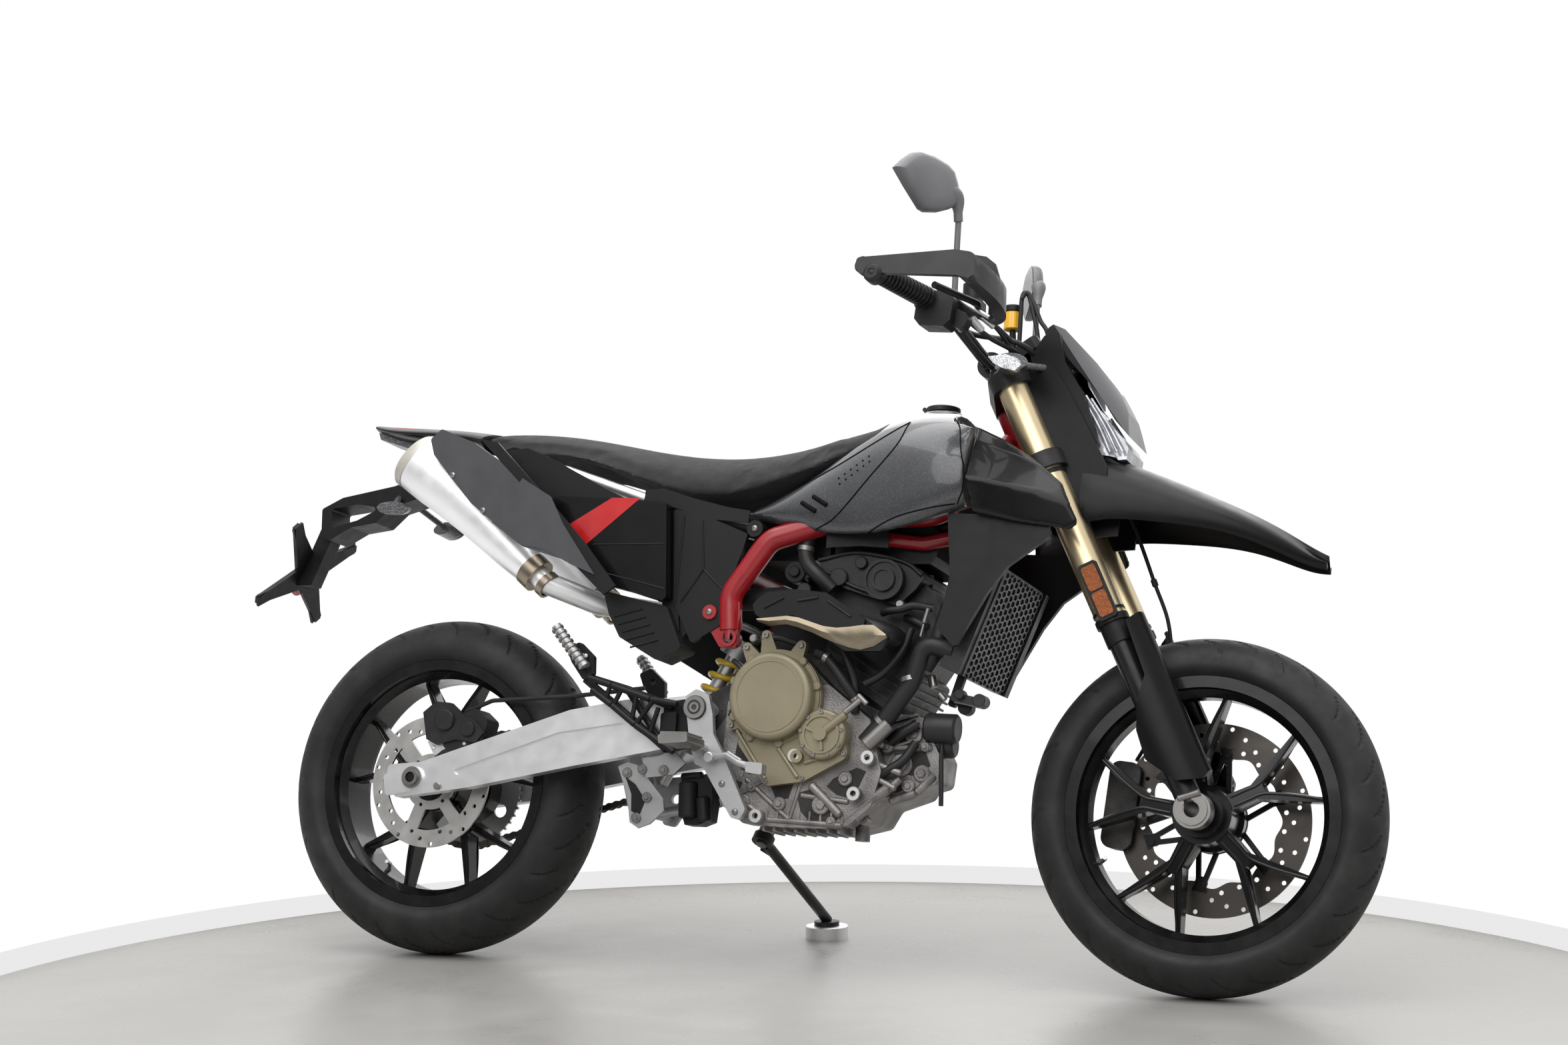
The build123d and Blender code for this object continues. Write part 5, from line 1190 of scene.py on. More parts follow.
class Skin:
    """Finds points on a CAD node's outer surface, seen from one side of the machine."""

    def __init__(self, node: str) -> None:
        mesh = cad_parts[node].data
        self.tree = BVHTree.FromPolygons([v.co for v in mesh.vertices], [p.vertices for p in mesh.polygons])
        self.back = BIKE.lean.transposed()

    def hit(self, x: float, z: float, side: Side, lift: float = 0) -> tuple[Vector, Vector] | None:
        """The upright surface point, lifted off it, and its outward normal at an x and z, or None."""
        start = BIKE.at(x, side * 420, z)
        place, normal, _, _ = self.tree.ray_cast(start, BIKE.turned(0, -float(side), 0))
        if place is None:
            return None
        normal = self.back @ normal
        if normal.y * side < 0:
            normal = -normal
        point = self.back @ (place / MM - BIKE.shift)
        return point + normal * lift, normal

    def seam(self, points: Outline, side: Side, radius: float, lift: float,
             steps: int = 6) -> Part:
        """A thin cord that lies on the surface along (x, z) points."""
        path = smooth_path([(x, 0, z) for x, z in points], steps)
        found = [self.hit(p.x, p.z, side, lift) for p in path]
        line = [hit[0] for hit in found if hit]
        return tube(line, radius, 6) if len(line) > 1 else ([], [])


@dataclass
class ForkTrim:
    """Seals, reflectors and the front brake hose."""

    def build(self) -> None:
        """Makes the pieces on both fork legs."""
        up, ahead = BIKE.up, BIKE.ahead
        seals, clips, lenses, frames = [], [], [], []
        for side in Side:
            y = side * BIKE.FORK_Y
            for along, outer, width in ((347, 29.5, 12), (363, 28.4, 5), (628, 28.8, 8)):
                seals.append(band(Vector(BIKE.fork(along, BIKE.fork_offset, y)), up, outer, 26, width))
            seals.append(band(Vector(BIKE.fork(839, BIKE.fork_offset, y)), up, 28, 15, 7))
            clips.append(cup(Vector(BIKE.fork(834, BIKE.fork_offset, y)),
                             Vector(BIKE.fork(852, BIKE.fork_offset, y)), 25, 32, 4))
            clips.append(cup(Vector(BIKE.fork(850, BIKE.fork_offset, y)),
                             Vector(BIKE.fork(860, BIKE.fork_offset, y)), 11, 6))
            middle = Vector(BIKE.fork(398, BIKE.fork_offset + 2, y + side * 29))
            out = Vector((0, float(side), 0))
            frames.append(block(middle, ahead, up, (34, 9, 104), 4))
            for shift in (-24, 24):
                lenses.append(block(middle + out * 3 + up * shift, ahead, up, (25, 6, 44), 3))
            seals.append(cup(Vector(BIKE.fork(304, BIKE.fork_offset, y)),
                             Vector(BIKE.fork(345, BIKE.fork_offset, y)), 25.5))
        split_finish("fork_legs", FORK_DARK, lambda p, _: p.z > 372)
        add("fork_seals", seals, MATT_BLACK, Body.STEERING)
        add("fork_caps", clips, CHAMPAGNE, Body.STEERING)
        add("reflector_frames", frames, MATT_BLACK, Body.STEERING)
        add("reflectors", lenses, AMBER, Body.STEERING)
        hose = [(1240, 44, 905), (1262, 56, 862), (1293, 62, 798), (1326, 66, 712), (1352, 72, 640),
                (1356, 84, 560), (1340, 108, 490), (1312, 118, 440), (1296, 104, 404)]
        path = smooth_path(hose)
        parts = [tube(path, 3.4, 10)]
        for k in (12, 24, 40):
            way = (path[k + 1] - path[k]).normalized()
            parts.append(cup(path[k] - way * 7, path[k] + way * 7, 5.6, 12))
        add("front_brake_hose", parts, RUBBER, Body.STEERING)


@dataclass
class Cockpit:
    """Cables, the fluid cup, grip ribs, mirror glasses and the display."""

    grip_in: Point = (996, -275, 1145.6)
    grip_out: Point = (941, -392, 1158.4)

    def build(self) -> None:
        """Makes the pieces on the handlebar."""
        self._cables()
        self._grips()
        self._glass()

    def _cables(self) -> None:
        """Cables and hoses from the bar's ends round the head tube."""
        parts = []
        for points, radius in (
                (((1040, -225, 1128), (1082, -190, 1096), (1106, -120, 1090), (1112, -40, 1086),
                  (1120, 20, 1050), (1140, 34, 1010)), 4.5),
                (((1052, -214, 1150), (1094, -172, 1112), (1104, -110, 1080), (1100, -60, 1052),
                  (1092, -44, 1010), (1084, -40, 985)), 4.2),
                (((1030, -240, 1122), (1050, -190, 1086), (1064, -140, 1066), (1070, -76, 1058),
                  (1066, -30, 1040), (1060, -24, 1006)), 5),
                (((1044, 222, 1128), (1090, 184, 1100), (1112, 120, 1092), (1120, 60, 1110),
                  (1118, 20, 1076), (1100, 10, 1040)), 4.5),
                (((1056, 200, 1168), (1104, 168, 1196), (1140, 120, 1176), (1150, 80, 1130),
                  (1142, 60, 1090)), 4.2),
                (((1060, 66, 1150), (1062, 62, 1210), (1063, 60, 1240), (1068, 60, 1253), (1077, 60, 1244),
                  (1087, 60, 1209), (1095, 60, 1175), (1102, 60, 1120)), 4.2),
                (((1064, 56, 1240), (1073, 58, 1252), (1086, 60, 1232), (1100, 60, 1198), (1114, 60, 1174),
                  (1124, 58, 1120)), 4.2),
                (((984, -200, 1190), (1001, -200, 1174), (1034, -200, 1150), (1061, -196, 1133),
                  (1090, -180, 1118), (1110, -140, 1100)), 4),
                (((1004, -150, 1134), (1030, -124, 1123), (1069, -120, 1115), (1101, -116, 1109),
                  (1127, -100, 1098), (1140, -60, 1080)), 5)):
            parts.append(tube(smooth_path(points), radius, 10))
        for x, y, z in ((1104, -110, 1080), (1112, 120, 1092), (1134, 56, 1130)):
            parts.append(band((x, y, z), (0.3, 0.2, 1), 8, 4, 9, 16))
        add("bar_cables", parts, RUBBER, Body.STEERING)
        post = [cup((1048, 84, 1102), (1042, 80, 1188), 6),
                cup((1042, 80, 1221), (1042, 80, 1233), 18.5)]
        add("fluid_cup_post", post, MATT_BLACK, Body.STEERING)
        add("fluid_cup", [cup((1042, 80, 1188), (1042, 80, 1221), 17)], AMBER_FLUID, Body.STEERING)
        housing = [block((1010, -254, 1126), (1, -0.1, -0.1), (0.1, 0, 1), (68, 42, 62), 12),
                   block((1044, -246, 1112), (1, 0, -0.5), (0.5, 0, 1), (40, 26, 30), 8),
                   cup((996, -236, 1152), (1012, -206, 1146), 21, 24, 5)]
        add("switch_housings", pairs(housing), ENGINE_BLACK, Body.STEERING, smooth=False)
        fittings = [tube(smooth_path([(1031, -246, 1165), (1056, -250, 1139), (1101, -252, 1112)]), 4, 10),
                    cup((1062, -228, 1120), (1074, -204, 1104), 6.5, 16),
                    cup((1066, -196, 1134), (1088, -180, 1116), 5.5, 16),
                    cup((1034, -252, 1116), (1044, -222, 1100), 6, 16)]
        add("cable_ends", fittings, STEEL, Body.STEERING)

    def _grips(self) -> None:
        """Raised ribs round both grips and the guards' end screws."""
        low, high = Vector(self.grip_in), Vector(self.grip_out)
        ribs = []
        for k in range(15):
            middle = low.lerp(high, (k + 0.5) / 15)
            ribs.append(band(middle, high - low, 17.9, 16, 4.4, 24))
        add("grip_ribs", pairs(ribs), RUBBER, Body.STEERING)
        end = Vector((951, -412, 1143))
        knobs = [cup(end - RIGHT * 4, end + RIGHT * 23, 16, 28, 4),
                 band(end + RIGHT * 23, RIGHT, 10.5, 7, 3, 24), cup(end + RIGHT * 21, end + RIGHT * 24, 4,
                                                                    16)]
        deflector = ((1090, 1196), (1119, 1190), (1136, 1176), (1145, 1148), (1140, 1120), (1112, 1140),
                     (1092, 1172))
        knobs.append(plate(deflector, -342, -337))
        add("bar_end_caps", pairs(knobs), ENGINE_BLACK, Body.STEERING)

    def _glass(self) -> None:
        """The mirrors' shells, stems and glasses, and the display's face."""
        turn = math.radians(25)
        across = Vector((math.sin(turn), math.cos(turn), 0))
        face = Vector((math.cos(turn), -math.sin(turn), 0))
        shape = ((-75, 1339), (-57, 1358), (-38, 1374), (-21, 1381), (13, 1383), (49, 1378), (66, 1370),
                 (77, 1350), (83, 1332), (79, 1313), (58, 1300), (34, 1289), (4, 1281), (-9, 1283),
                 (-46, 1313))
        hub = (8, 1334)

        def ring(depth: float, grow: float) -> list[Point]:
            points = []
            for u, z in shape:
                u, z = hub[0] + (u - hub[0]) * grow, hub[1] + (z - hub[1]) * grow
                points.append(tuple(Vector((1000, -330, z)) + across * u + face * depth))
            return points
        shell = loft([ring(-8, 0.95), ring(-8, 0.985), ring(-5, 1), ring(2, 1), ring(8, 0.95),
                      ring(13, 0.80), ring(15, 0.5)])
        glass = loft([ring(-9.4, 0.93), ring(-7.6, 0.93)])
        base = Vector((1000, -330, 0))
        neck = smooth_path([tuple(base + across * 50 + Vector((0, 0, 1338)) + face * 3),
                            tuple(base + across * 76 + Vector((0, 0, 1324)) + face * 3), (1037, -252, 1286)])
        stem = smooth_path([(1037, -252, 1300), (1036, -250, 1235), (1035, -247, 1158)])
        parts = [shell, tube(neck, lambda t: 8 + 6 * math.sin(math.pi * min(1, 1.25 * t)), 24),
                 tube(stem, 5.4, 18)]
        mirrors = add("mirror_shells", pairs(parts), SHELL_GREY, Body.STEERING)
        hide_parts("mirrors")
        add("mirror_glasses", [both_sides(glass)], MIRROR_GLASS, Body.STEERING, smooth=False)
        up = Vector((-0.55, 0, 0.83)).normalized()
        middle = Vector((1116, 0, 1098)) + up * 22.6
        add("display", [block(middle, Vector((0.83, 0, 0.55)), up, (50, 130, 1.6), 0.4)],
            SCREEN_GLASS, Body.STEERING, smooth=False)


@dataclass
class FlankTrim:
    """The side covers' stripe, seams, slots and vents."""

    def build(self) -> None:
        """Makes the trim of both flanks."""
        tank = Skin("fuel_tank")
        seams, slots, dots = [], [], []
        cover = ((866, 752), (926, 778), (990, 792), (1040, 800))
        edge = ((1044, 800), (1062, 842), (1050, 880), (1032, 940), (1012, 966))
        ridge = ((640, 806), (718, 848), (800, 886), (880, 930), (930, 962))
        flank = ((770, 768), (812, 788), (868, 846), (922, 912), (930, 962))
        for side in Side:
            for line in (cover, edge, ridge, flank):
                seams.append(tank.seam(line, side, 1.3, 0.2))
            for x, z in ((758, 808), (780, 818)):
                path = [tank.hit(x + d * 0.9, z - d * 0.55, side, 0.6) for d in (-16, -8, 0, 8, 16)]
                slots.append(tube([hit[0] for hit in path if hit], 4.2, 8))
            for k in range(12):
                hit = tank.hit(812 + (k // 2) * 11 + (k % 2) * 4, 858 + (k // 2) * 7.5 - (k % 2) * 11, side,
                               0.2)
                if hit:
                    dots.append(cup(hit[0] - hit[1], hit[0] + hit[1] * 0.4, 2.1, 10, 0.3))
        add("tank_seams", seams, SEAM)
        add("tank_slots", slots + dots, SEAM)
        stripe = ((291, 775), (323, 731), (438, 826), (382, 828))
        add("side_stripe", [both_sides(plate(stripe, -178.9, -178))], STRIPE_RED, smooth=False)
        ribs = []
        for k in range(5):
            a = Vector((398 + 9 * k, -165.6, 612 - 14 * k))
            b = Vector((452 + 9 * k, -165.6, 626 - 14 * k))
            ribs.append(cup(a, b, 1.8, 8, 0.8))
        for a, b in (((510, 640), (516, 800)), ((520, 640), (560, 700)), ((560, 700), (552, 790)),
                     ((560, 700), (604, 660))):
            ribs.append(bar(a, b, -151.4, 1.8, 8, 0.8))
        for a, b in (((300, 760), (360, 700)), ((376, 690), (500, 660)), ((350, 742), (492, 742))):
            ribs.append(bar(a, b, -178.4, 1.3, 8, 0.6))
        add("cover_ribs", pairs(ribs), MATT_BLACK)
        line = [(-196, -36, 1010), (-150, -50, 1004), (-90, -64, 996)]
        add("tail_line", [both_sides(tube(smooth_path(line), 1.6, 8))], STRIPE_RED)


@dataclass
class InnerPanels:
    """Dark panels that close the gaps between covers, and the frame's thick side tubes."""

    def build(self) -> None:
        """Makes the panels, mirrored on both sides."""
        tri = ((120, 926), (187, 932), (245, 908), (359, 849), (424, 820), (384, 822), (262, 800), (214, 838))
        slit = ((486, 832), (562, 798), (566, 640), (512, 560), (480, 640))
        deep = ((112, 902), (262, 872), (420, 806), (420, 700), (350, 690), (270, 770), (190, 846))
        brow = ((1190, 900), (1262, 912), (1300, 890), (1290, 770), (1252, 768), (1214, 850))
        top = ((434, 847), (470, 850), (533, 830), (600, 813), (642, 806), (640, 784), (560, 792), (470, 822),
               (432, 826))
        under = ((786, 798), (900, 794), (902, 738), (850, 742), (786, 740))
        cheek = ((1120, 1040), (1150, 1092), (1177, 1060), (1197, 1029), (1229, 973), (1258, 918),
                 (1276, 884), (1266, 792), (1236, 790), (1190, 880), (1150, 980))
        glass = ((1236, 1008), (1262, 975), (1292, 942), (1301, 926), (1298, 906), (1284, 905), (1262, 930))
        add("cowl_cheeks", [both_sides(plate(cheek, -95.5, -90.6))], COWL_BLACK, Body.STEERING, smooth=False)
        bands = [tube(smooth_path([(a, -71, 1024 - k * 6), (a + 34, -71.5, 968 - k * 4),
                                   (a + 58, -70.5, 916)]),
                      2.4, 8) for k, a in enumerate((1214, 1226, 1236))]
        add("lamp_front", [plate(glass, -56, 56)] + pairs(bands), LAMP_GLASS, Body.STEERING, smooth=False)
        split_finish("headlight_cowl", SMOKE, lambda p, _: abs(p.y) < 69.5 and p.x > 1162)
        lens = ((1089, 1055), (1120, 1058), (1143, 1049), (1148, 1038), (1138, 1028), (1115, 1034),
                (1098, 1044))
        add("indicator_lenses", [both_sides(plate(lens, -212, -200))], SILVER_LENS, Body.STEERING,
            smooth=False)
        joint = ((117, 938), (156, 929), (258, 831), (347, 743), (418, 660), (396, 643), (338, 694),
                 (299, 756), (216, 845))
        panels = [plate(joint, -212, -207), plate(top, -150, -145.6), plate(under, -137.5, -134.5),
                  plate(tri, -152, -148), plate(slit, -143, -139), plate(deep, -128, -125)]
        add("inner_panels", pairs(panels), MATT_BLACK, smooth=False)
        add("cowl_inner", [both_sides(plate(brow, -64, -60))], COWL_BLACK, Body.STEERING, smooth=False)
        boxes = [block((880, 0, 752), FORWARD, UP, (190, 176, 66), 12),
                 block((700, 0, 752), FORWARD, UP, (150, 170, 50), 12)]
        add("airbox_body", boxes, MATT_BLACK, smooth=False)
        tubes = [tube(arc_path([(792, -130, 788), (680, -139, 754), (611, -139, 655), (615, -137, 592)], 50),
                      20.5, 28)]
        add("frame_sleeves", pairs(tubes), RED_PAINT)
        centre = Vector((-362, 0, 726))
        along, out = Vector((0.447, 0, 0.894)), Vector((-0.894, 0, 0.447))
        star = [(104, 88), (112, 76), (38, 0), (112, -76), (104, -88), (0, -34), (-104, -88), (-112, -76),
                (-38, 0), (-112, 76), (-104, 88), (0, 34)]
        verts = [tuple(centre + LEFT * a + along * b + out * h) for h in (-1.5, 7) for a, b in star]
        add("holder_web", [(verts, prism(12))], MATT_BLACK, smooth=False)


@dataclass
class EngineTrim:
    """Shield trim, hoses, ribs, canister and other fittings of the engine's right side."""

    def build(self) -> None:
        """Makes the engine's dressing."""
        split_finish("subframe", MATT_BLACK, lambda p, _: p.x > 520)
        split_finish("exhaust", ENGINE_BLACK, lambda p, _: p.x > 520)
        # The upper part of the cases takes the darker casting finish: painted shade.
        split_finish("engine_cases", CASE_SHADE, lambda p, _: p.z > 452 - max(0, 800 - p.x) * 0.1)
        upper = ((688, 603), (712, 605), (743, 608), (765, 605), (790, 597), (812, 590), (836, 587),
                 (862, 589), (884, 592), (904, 592), (927, 576))
        lower = ((688, 599), (711, 592), (743, 594), (763, 589), (790, 580), (810, 571), (836, 561),
                 (862, 553), (881, 550), (905, 556), (928, 571))
        sections = []
        for (ax, az), (bx, bz) in zip(upper, lower):
            sections.append([(ax, -196.5, az), (ax * 0.5 + bx * 0.5, -199, az * 0.5 + bz * 0.5),
                             (bx, -191.5, bz), (bx, -187, bz), (ax, -187, az)])
        add("shield_trim", [loft(sections)], CHAMPAGNE)
        crown = ((678, 627), (687, 639), (707, 648), (736, 653), (778, 651), (818, 645), (851, 626),
                 (878, 611), (888, 601), (885, 590), (834, 587), (802, 591), (775, 601), (755, 609),
                 (729, 607), (697, 603), (684, 611))
        ridges = [plate(crown, -196, -189.8)]
        for a, b in (((700, 622), (736, 640)), ((762, 634), (800, 640)), ((818, 634), (862, 606))):
            ridges.append(bar(a, b, -196.4, 2.6, 8, 1))
        add("shield_crown", ridges, MATT_BLACK, smooth=False)
        hoses = [
            (((779, -130, 553), (800, -138, 544), (822, -140, 520), (838, -138, 498), (858, -130, 470)), 9),
            (((748, -118, 768), (743, -124, 739), (750, -125, 713), (772, -125, 691), (796, -118, 668)),
             13.5),
            (((890, -112, 628), (904, -125, 629), (926, -128, 631), (950, -126, 638), (984, -120, 634)), 7),
            (((1010, -110, 640), (1004, -125, 599), (994, -126, 560), (975, -120, 530)), 15),
            (((930, -104, 620), (952, -118, 612), (976, -120, 600)), 7),
            (((868, -126, 500), (900, -124, 520), (930, -116, 560), (944, -112, 600)), 7),
            (((822, -122, 566), (836, -128, 540), (850, -126, 500), (852, -120, 450)), 8),
            (((1000, -80, 420), (1000, -82, 380), (1002, -82, 340), (1003, -80, 298)), 4.2),
            (((884, -104, 340), (912, -112, 352), (940, -108, 372), (958, -98, 404)), 8),
            (((912, -96, 404), (936, -104, 420), (960, -100, 436)), 9),
            (((640, -124, 560), (668, -130, 574), (700, -128, 580), (740, -120, 570)), 5),
            (((620, -128, 540), (640, -134, 520), (636, -134, 480), (622, -130, 440)), 4.5)]
        add("engine_hoses", [tube(smooth_path(pts), r, 12)
                             for pts, r in hoses], RUBBER)
        clamps = [band((x, y, z), Vector(axis), outer, inner, 8, 28) for x, y, z, axis, outer, inner in (
            (954, -132, 509, (-0.25, 0, 1), 18, 16), (905, -126, 434, (0.7, 0, 0.7), 18, 16),
            (800, -138, 544, (1, 0, -0.6), 10.6, 9), (856, -131, 472, (0.6, 0.2, -1), 10.6, 9),
            (996, -126, 566, (0.3, 0, 1), 16.8, 15), (743, -124, 741, (0.1, 0, 1), 15, 13))]
        rods = (((919, -130, 432), (880, -132, 394), 14), ((866, -150, 478), (884, -150, 462), 5),
                ((844, -152, 446), (872, -150, 470), 5.5), ((979, -130, 633), (972, -130, 606), 4.5),
                ((972, -130, 606), (967, -130, 582), 3), ((979, -96, 521), (985, -96, 500), 8),
                ((995, -96, 490), (1006, -96, 478), 6), ((926, -112, 640), (926, -132, 640), 7.5),
                ((664, -140, 576), (664, -152, 576), 7), ((1018, -84, 478), (1072, -84, 468), 3))
        pipes = [cup(a, b, r, 20) for a, b, r in rods]
        rings = [band((x, y, z), RIGHT, 11.5, 5.5, 5, 28) for x, y, z in (
            (864, -139, 309), (886, -139, 372), (752, -141, 372), (686, -139, 266), (771, -193, 599),
            (904, -193, 583))]
        screws = [cup((x, -189, z), (x, -197, z), 5, 6) for x, z in ((771, 599), (904, 583))]
        add("engine_pipes", clamps + pipes, DULL_STEEL)
        add("engine_rings", rings[:4] + screws, STEEL)
        buffers = [cup((1031, -100, 489), (1031, -76, 489), 9),
                   cup((1068, -102, 478), (1068, -70, 478), 11.5),
                   block((1046, -86, 480), (1, 0, -0.2), (0.2, 0, 1), (64, 8, 15), 3),
                   cup((970, -82, 432), (1028, -82, 430), 26, 28, 4),
                   cup((984, -60, 404), (1018, -60, 404), 22, 28, 4)]
        add("engine_canister", buffers, DARK_PLASTIC)
        self._cover_rings()
        self._case_ribs()
        self._cam_cover()

    def _cover_rings(self) -> None:
        """Raised steps and lugs of the clutch and pump covers."""
        parts = [band((707, -165.2, 473), RIGHT, 64, 60, 1.6, 72),
                 band((707, -137, 473), RIGHT, 84, 77, 5, 72),
                 band((803, -153, 409), RIGHT, 34, 30, 3, 40)]
        for angle in (15, 52, 125, 160, 205, 240, 280, 325):
            a = math.radians(angle)
            centre = Vector(around((707, 0, 473), 81, a))
            parts.append(cup(centre + RIGHT * 128, centre + RIGHT * 144, 8, 20))
        for k in range(3):
            a = math.radians(38 + 120 * k)
            parts.append(block(around((803, -154, 409), 17, a),
                               spoke(a), spoke(a + math.pi / 2),
                               (24, 5, 5), 1.2))
        for start, end in (((640, 415), (700, 330)), ((720, 385), (760, 334)), ((770, 360), (836, 380))):
            parts.append(bar(start, end, -138.5, 4, 12))
        add("engine_cover_steps", parts, BRONZE)

    def _case_ribs(self) -> None:
        """Ribs, bosses and flanges of the crankcase, right side and front, with flat dark plates of painted
        shade between them.
        """
        parts = []
        for start, end, y, r in (((640, 300), (700, 262), -119, 5), ((655, 332), (742, 262), -119, 5),
                                 ((779, 325), (838, 272), -124, 8), ((836, 262), (917, 324), -112, 9),
                                 ((870, 372), (940, 348), -112, 6), ((866, 352), (930, 322), -110, 6),
                                 ((760, 306), (850, 296), -119, 5), ((700, 262), (840, 256), -119, 5),
                                 ((690, 330), (760, 330), -119, 4), ((640, 300), (690, 330), -119, 4),
                                 ((742, 262), (760, 330), -119, 4), ((905, 396), (984, 397), -84, 7),
                                 ((911, 303), (959, 318), -84, 8), ((959, 318), (990, 351), -84, 8),
                                 ((880, 420), (950, 440), -92, 6), ((862, 404), (905, 396), -112, 6)):
            parts.append(bar(start, end, y, r, 14, r * 0.4))
        for x, z, r, y in ((800, 290, 17, -121), (722, 290, 12, -121), (842, 336, 13, -122),
                           (930, 366, 20, -86), (968, 352, 15, -86), (950, 420, 17, -86), (972, 398, 9, -88),
                           (655, 292, 12, -121), (905, 396, 12, -94), (870, 268, 8, -92), (914, 330, 12, -90),
                           (668, 318, 9, -121), (770, 350, 9, -123), (820, 262, 9, -121), (945, 330, 12, -88),
                           (890, 340, 10, -108)):
            parts.append(cup((x, y + 18, z), (x, y - 5, z), float(r), 24, 2))
            parts.append(cup((x, y, z), (x, y - 8.5, z), r * 0.55, 6, 1.2))
        for k in range(8):
            parts.append(block((690 + 20 * k, -58, 250), FORWARD, UP, (5, 100, 14), 1))
            parts.append(block((700 + 20 * k, -119.5, 268), FORWARD, UP, (3.5, 6, 20), 0.8))
        for z in (404, 418, 432, 446):
            parts.append(block(Vector((938 - (z - 404) * 0.2, -86, z)), Vector((1, 0, 0.3)),
                               Vector((-0.3, 0, 1)), (54, 12, 4), 1))
        add("case_ribs", parts, ENGINE_GREY)
        # Flat dark plates laid between the ribs: painted shade in place of the shade in the casting's
        # recesses.
        pocket_shades = [plate(shape, y - 0.9, y + 0.5) for shape, y in (
            (((753, 309), (777, 316), (832, 268), (822, 256), (785, 256), (762, 278)), -120),
            (((819, 336), (861, 356), (878, 350), (866, 322), (846, 304), (827, 308), (808, 322)), -120),
            (((612, 318), (634, 330), (650, 326), (640, 300), (622, 296)), -120),
            (((704, 320), (746, 326), (738, 300), (716, 296)), -120),
            (((640, 420), (700, 384), (700, 352), (662, 340), (630, 360)), -120),
            (((880, 360), (896, 372), (902, 350), (890, 330)), -104),
            (((915, 388), (972, 390), (982, 366), (955, 348), (918, 352)), -84),
            (((905, 330), (940, 338), (950, 326), (920, 318)), -84),
            (((870, 452), (944, 446), (950, 412), (912, 402), (872, 420)), -84))]
        add("case_pockets", pocket_shades, PAINTED_POCKET_SHADE, smooth=False)

    def _cam_cover(self) -> None:
        """Steps of the cam cover, its round end and the plug cap."""
        parts = [band((893, -130, 684), RIGHT, 36, 31, 3, 40),
                 band((893, -133, 684), RIGHT, 21, 16, 3, 32),
                 tube(smooth_path([(764, -113, 722), (836, -113, 735), (922, -113, 718), (958, -113, 694)]),
                      4),
                 tube(smooth_path([(784, -113, 700), (820, -113, 680), (862, -113, 664)]), 4),
                 cup((806, -90, 690), (806, -122, 690), 16),
                 cup((846, -90, 716), (846, -120, 716), 11),
                 cup((742, -96, 706), (742, -118, 706), 19),
                 cup((742, -100, 668), (742, -120, 668), 13)]
        add("cam_cover_steps", parts, ENGINE_BLACK)
        fillers = [block((1016, -60, 500), (0.3, 0, 1), (-1, 0, 0.3), (60, 12, 14), 3),
                   cup((1034, -72, 470), (1034, -48, 470), 13),
                   cup((1008, -70, 486), (1030, -70, 474), 6, 16),
                   plate(((660, 530), (664, 622), (870, 622), (870, 530)), -60, -54),
                   plate(((726, 640), (726, 704), (960, 704), (960, 600), (870, 600)), -60, -54),
                   cup((724, -96, 700), (724, -122, 700), 20),
                   cup((724, -118, 700), (724, -128, 700), 10)]
        add("engine_fillers", fillers, MATT_BLACK)


@dataclass
class ExhaustTrim:
    """End caps, joint sleeves and clamps of both silencers."""

    def build(self) -> None:
        """Makes the trim of both silencers."""
        centre, run = Vector((-42, -158, 912)), Vector((-254, -12, 208)).normalized()
        other = run.cross(LEFT).normalized()

        def oval(rise: float, grow: float) -> list[Point]:
            ring = []
            for k in range(48):
                angle = 2 * math.pi * k / 48
                ring.append(tuple(centre + run * rise + LEFT * (45 * grow) * math.cos(angle)
                                  + other * (56 * grow) * math.sin(angle)))
            return ring

        rings = [oval(-14, 1.03), oval(0, 1.035), oval(7, 0.94), oval(9, 0.6), oval(4, 0.5)]
        verts = [p for ring in rings for p in ring]
        add("silencer_end_caps", [both_sides((verts, quads(5, 48)))], END_CAP)
        front = Vector((212, -146, 704))
        sleeve = band(front - run * 10, run, 33, 21, 26, 40)
        clamp = band(front - run * 46, run, 25.5, 21, 14, 40)
        skirt = ((216, 859), (276, 824), (307, 771), (377, 679), (329, 698), (270, 727), (223, 735),
                 (160, 778))
        add("cover_skirts", [both_sides(plate(skirt, -217, -213))], SATIN_GREY, smooth=False)
        add("silencer_sleeves", [both_sides(sleeve), both_sides(clamp)], HEADER)


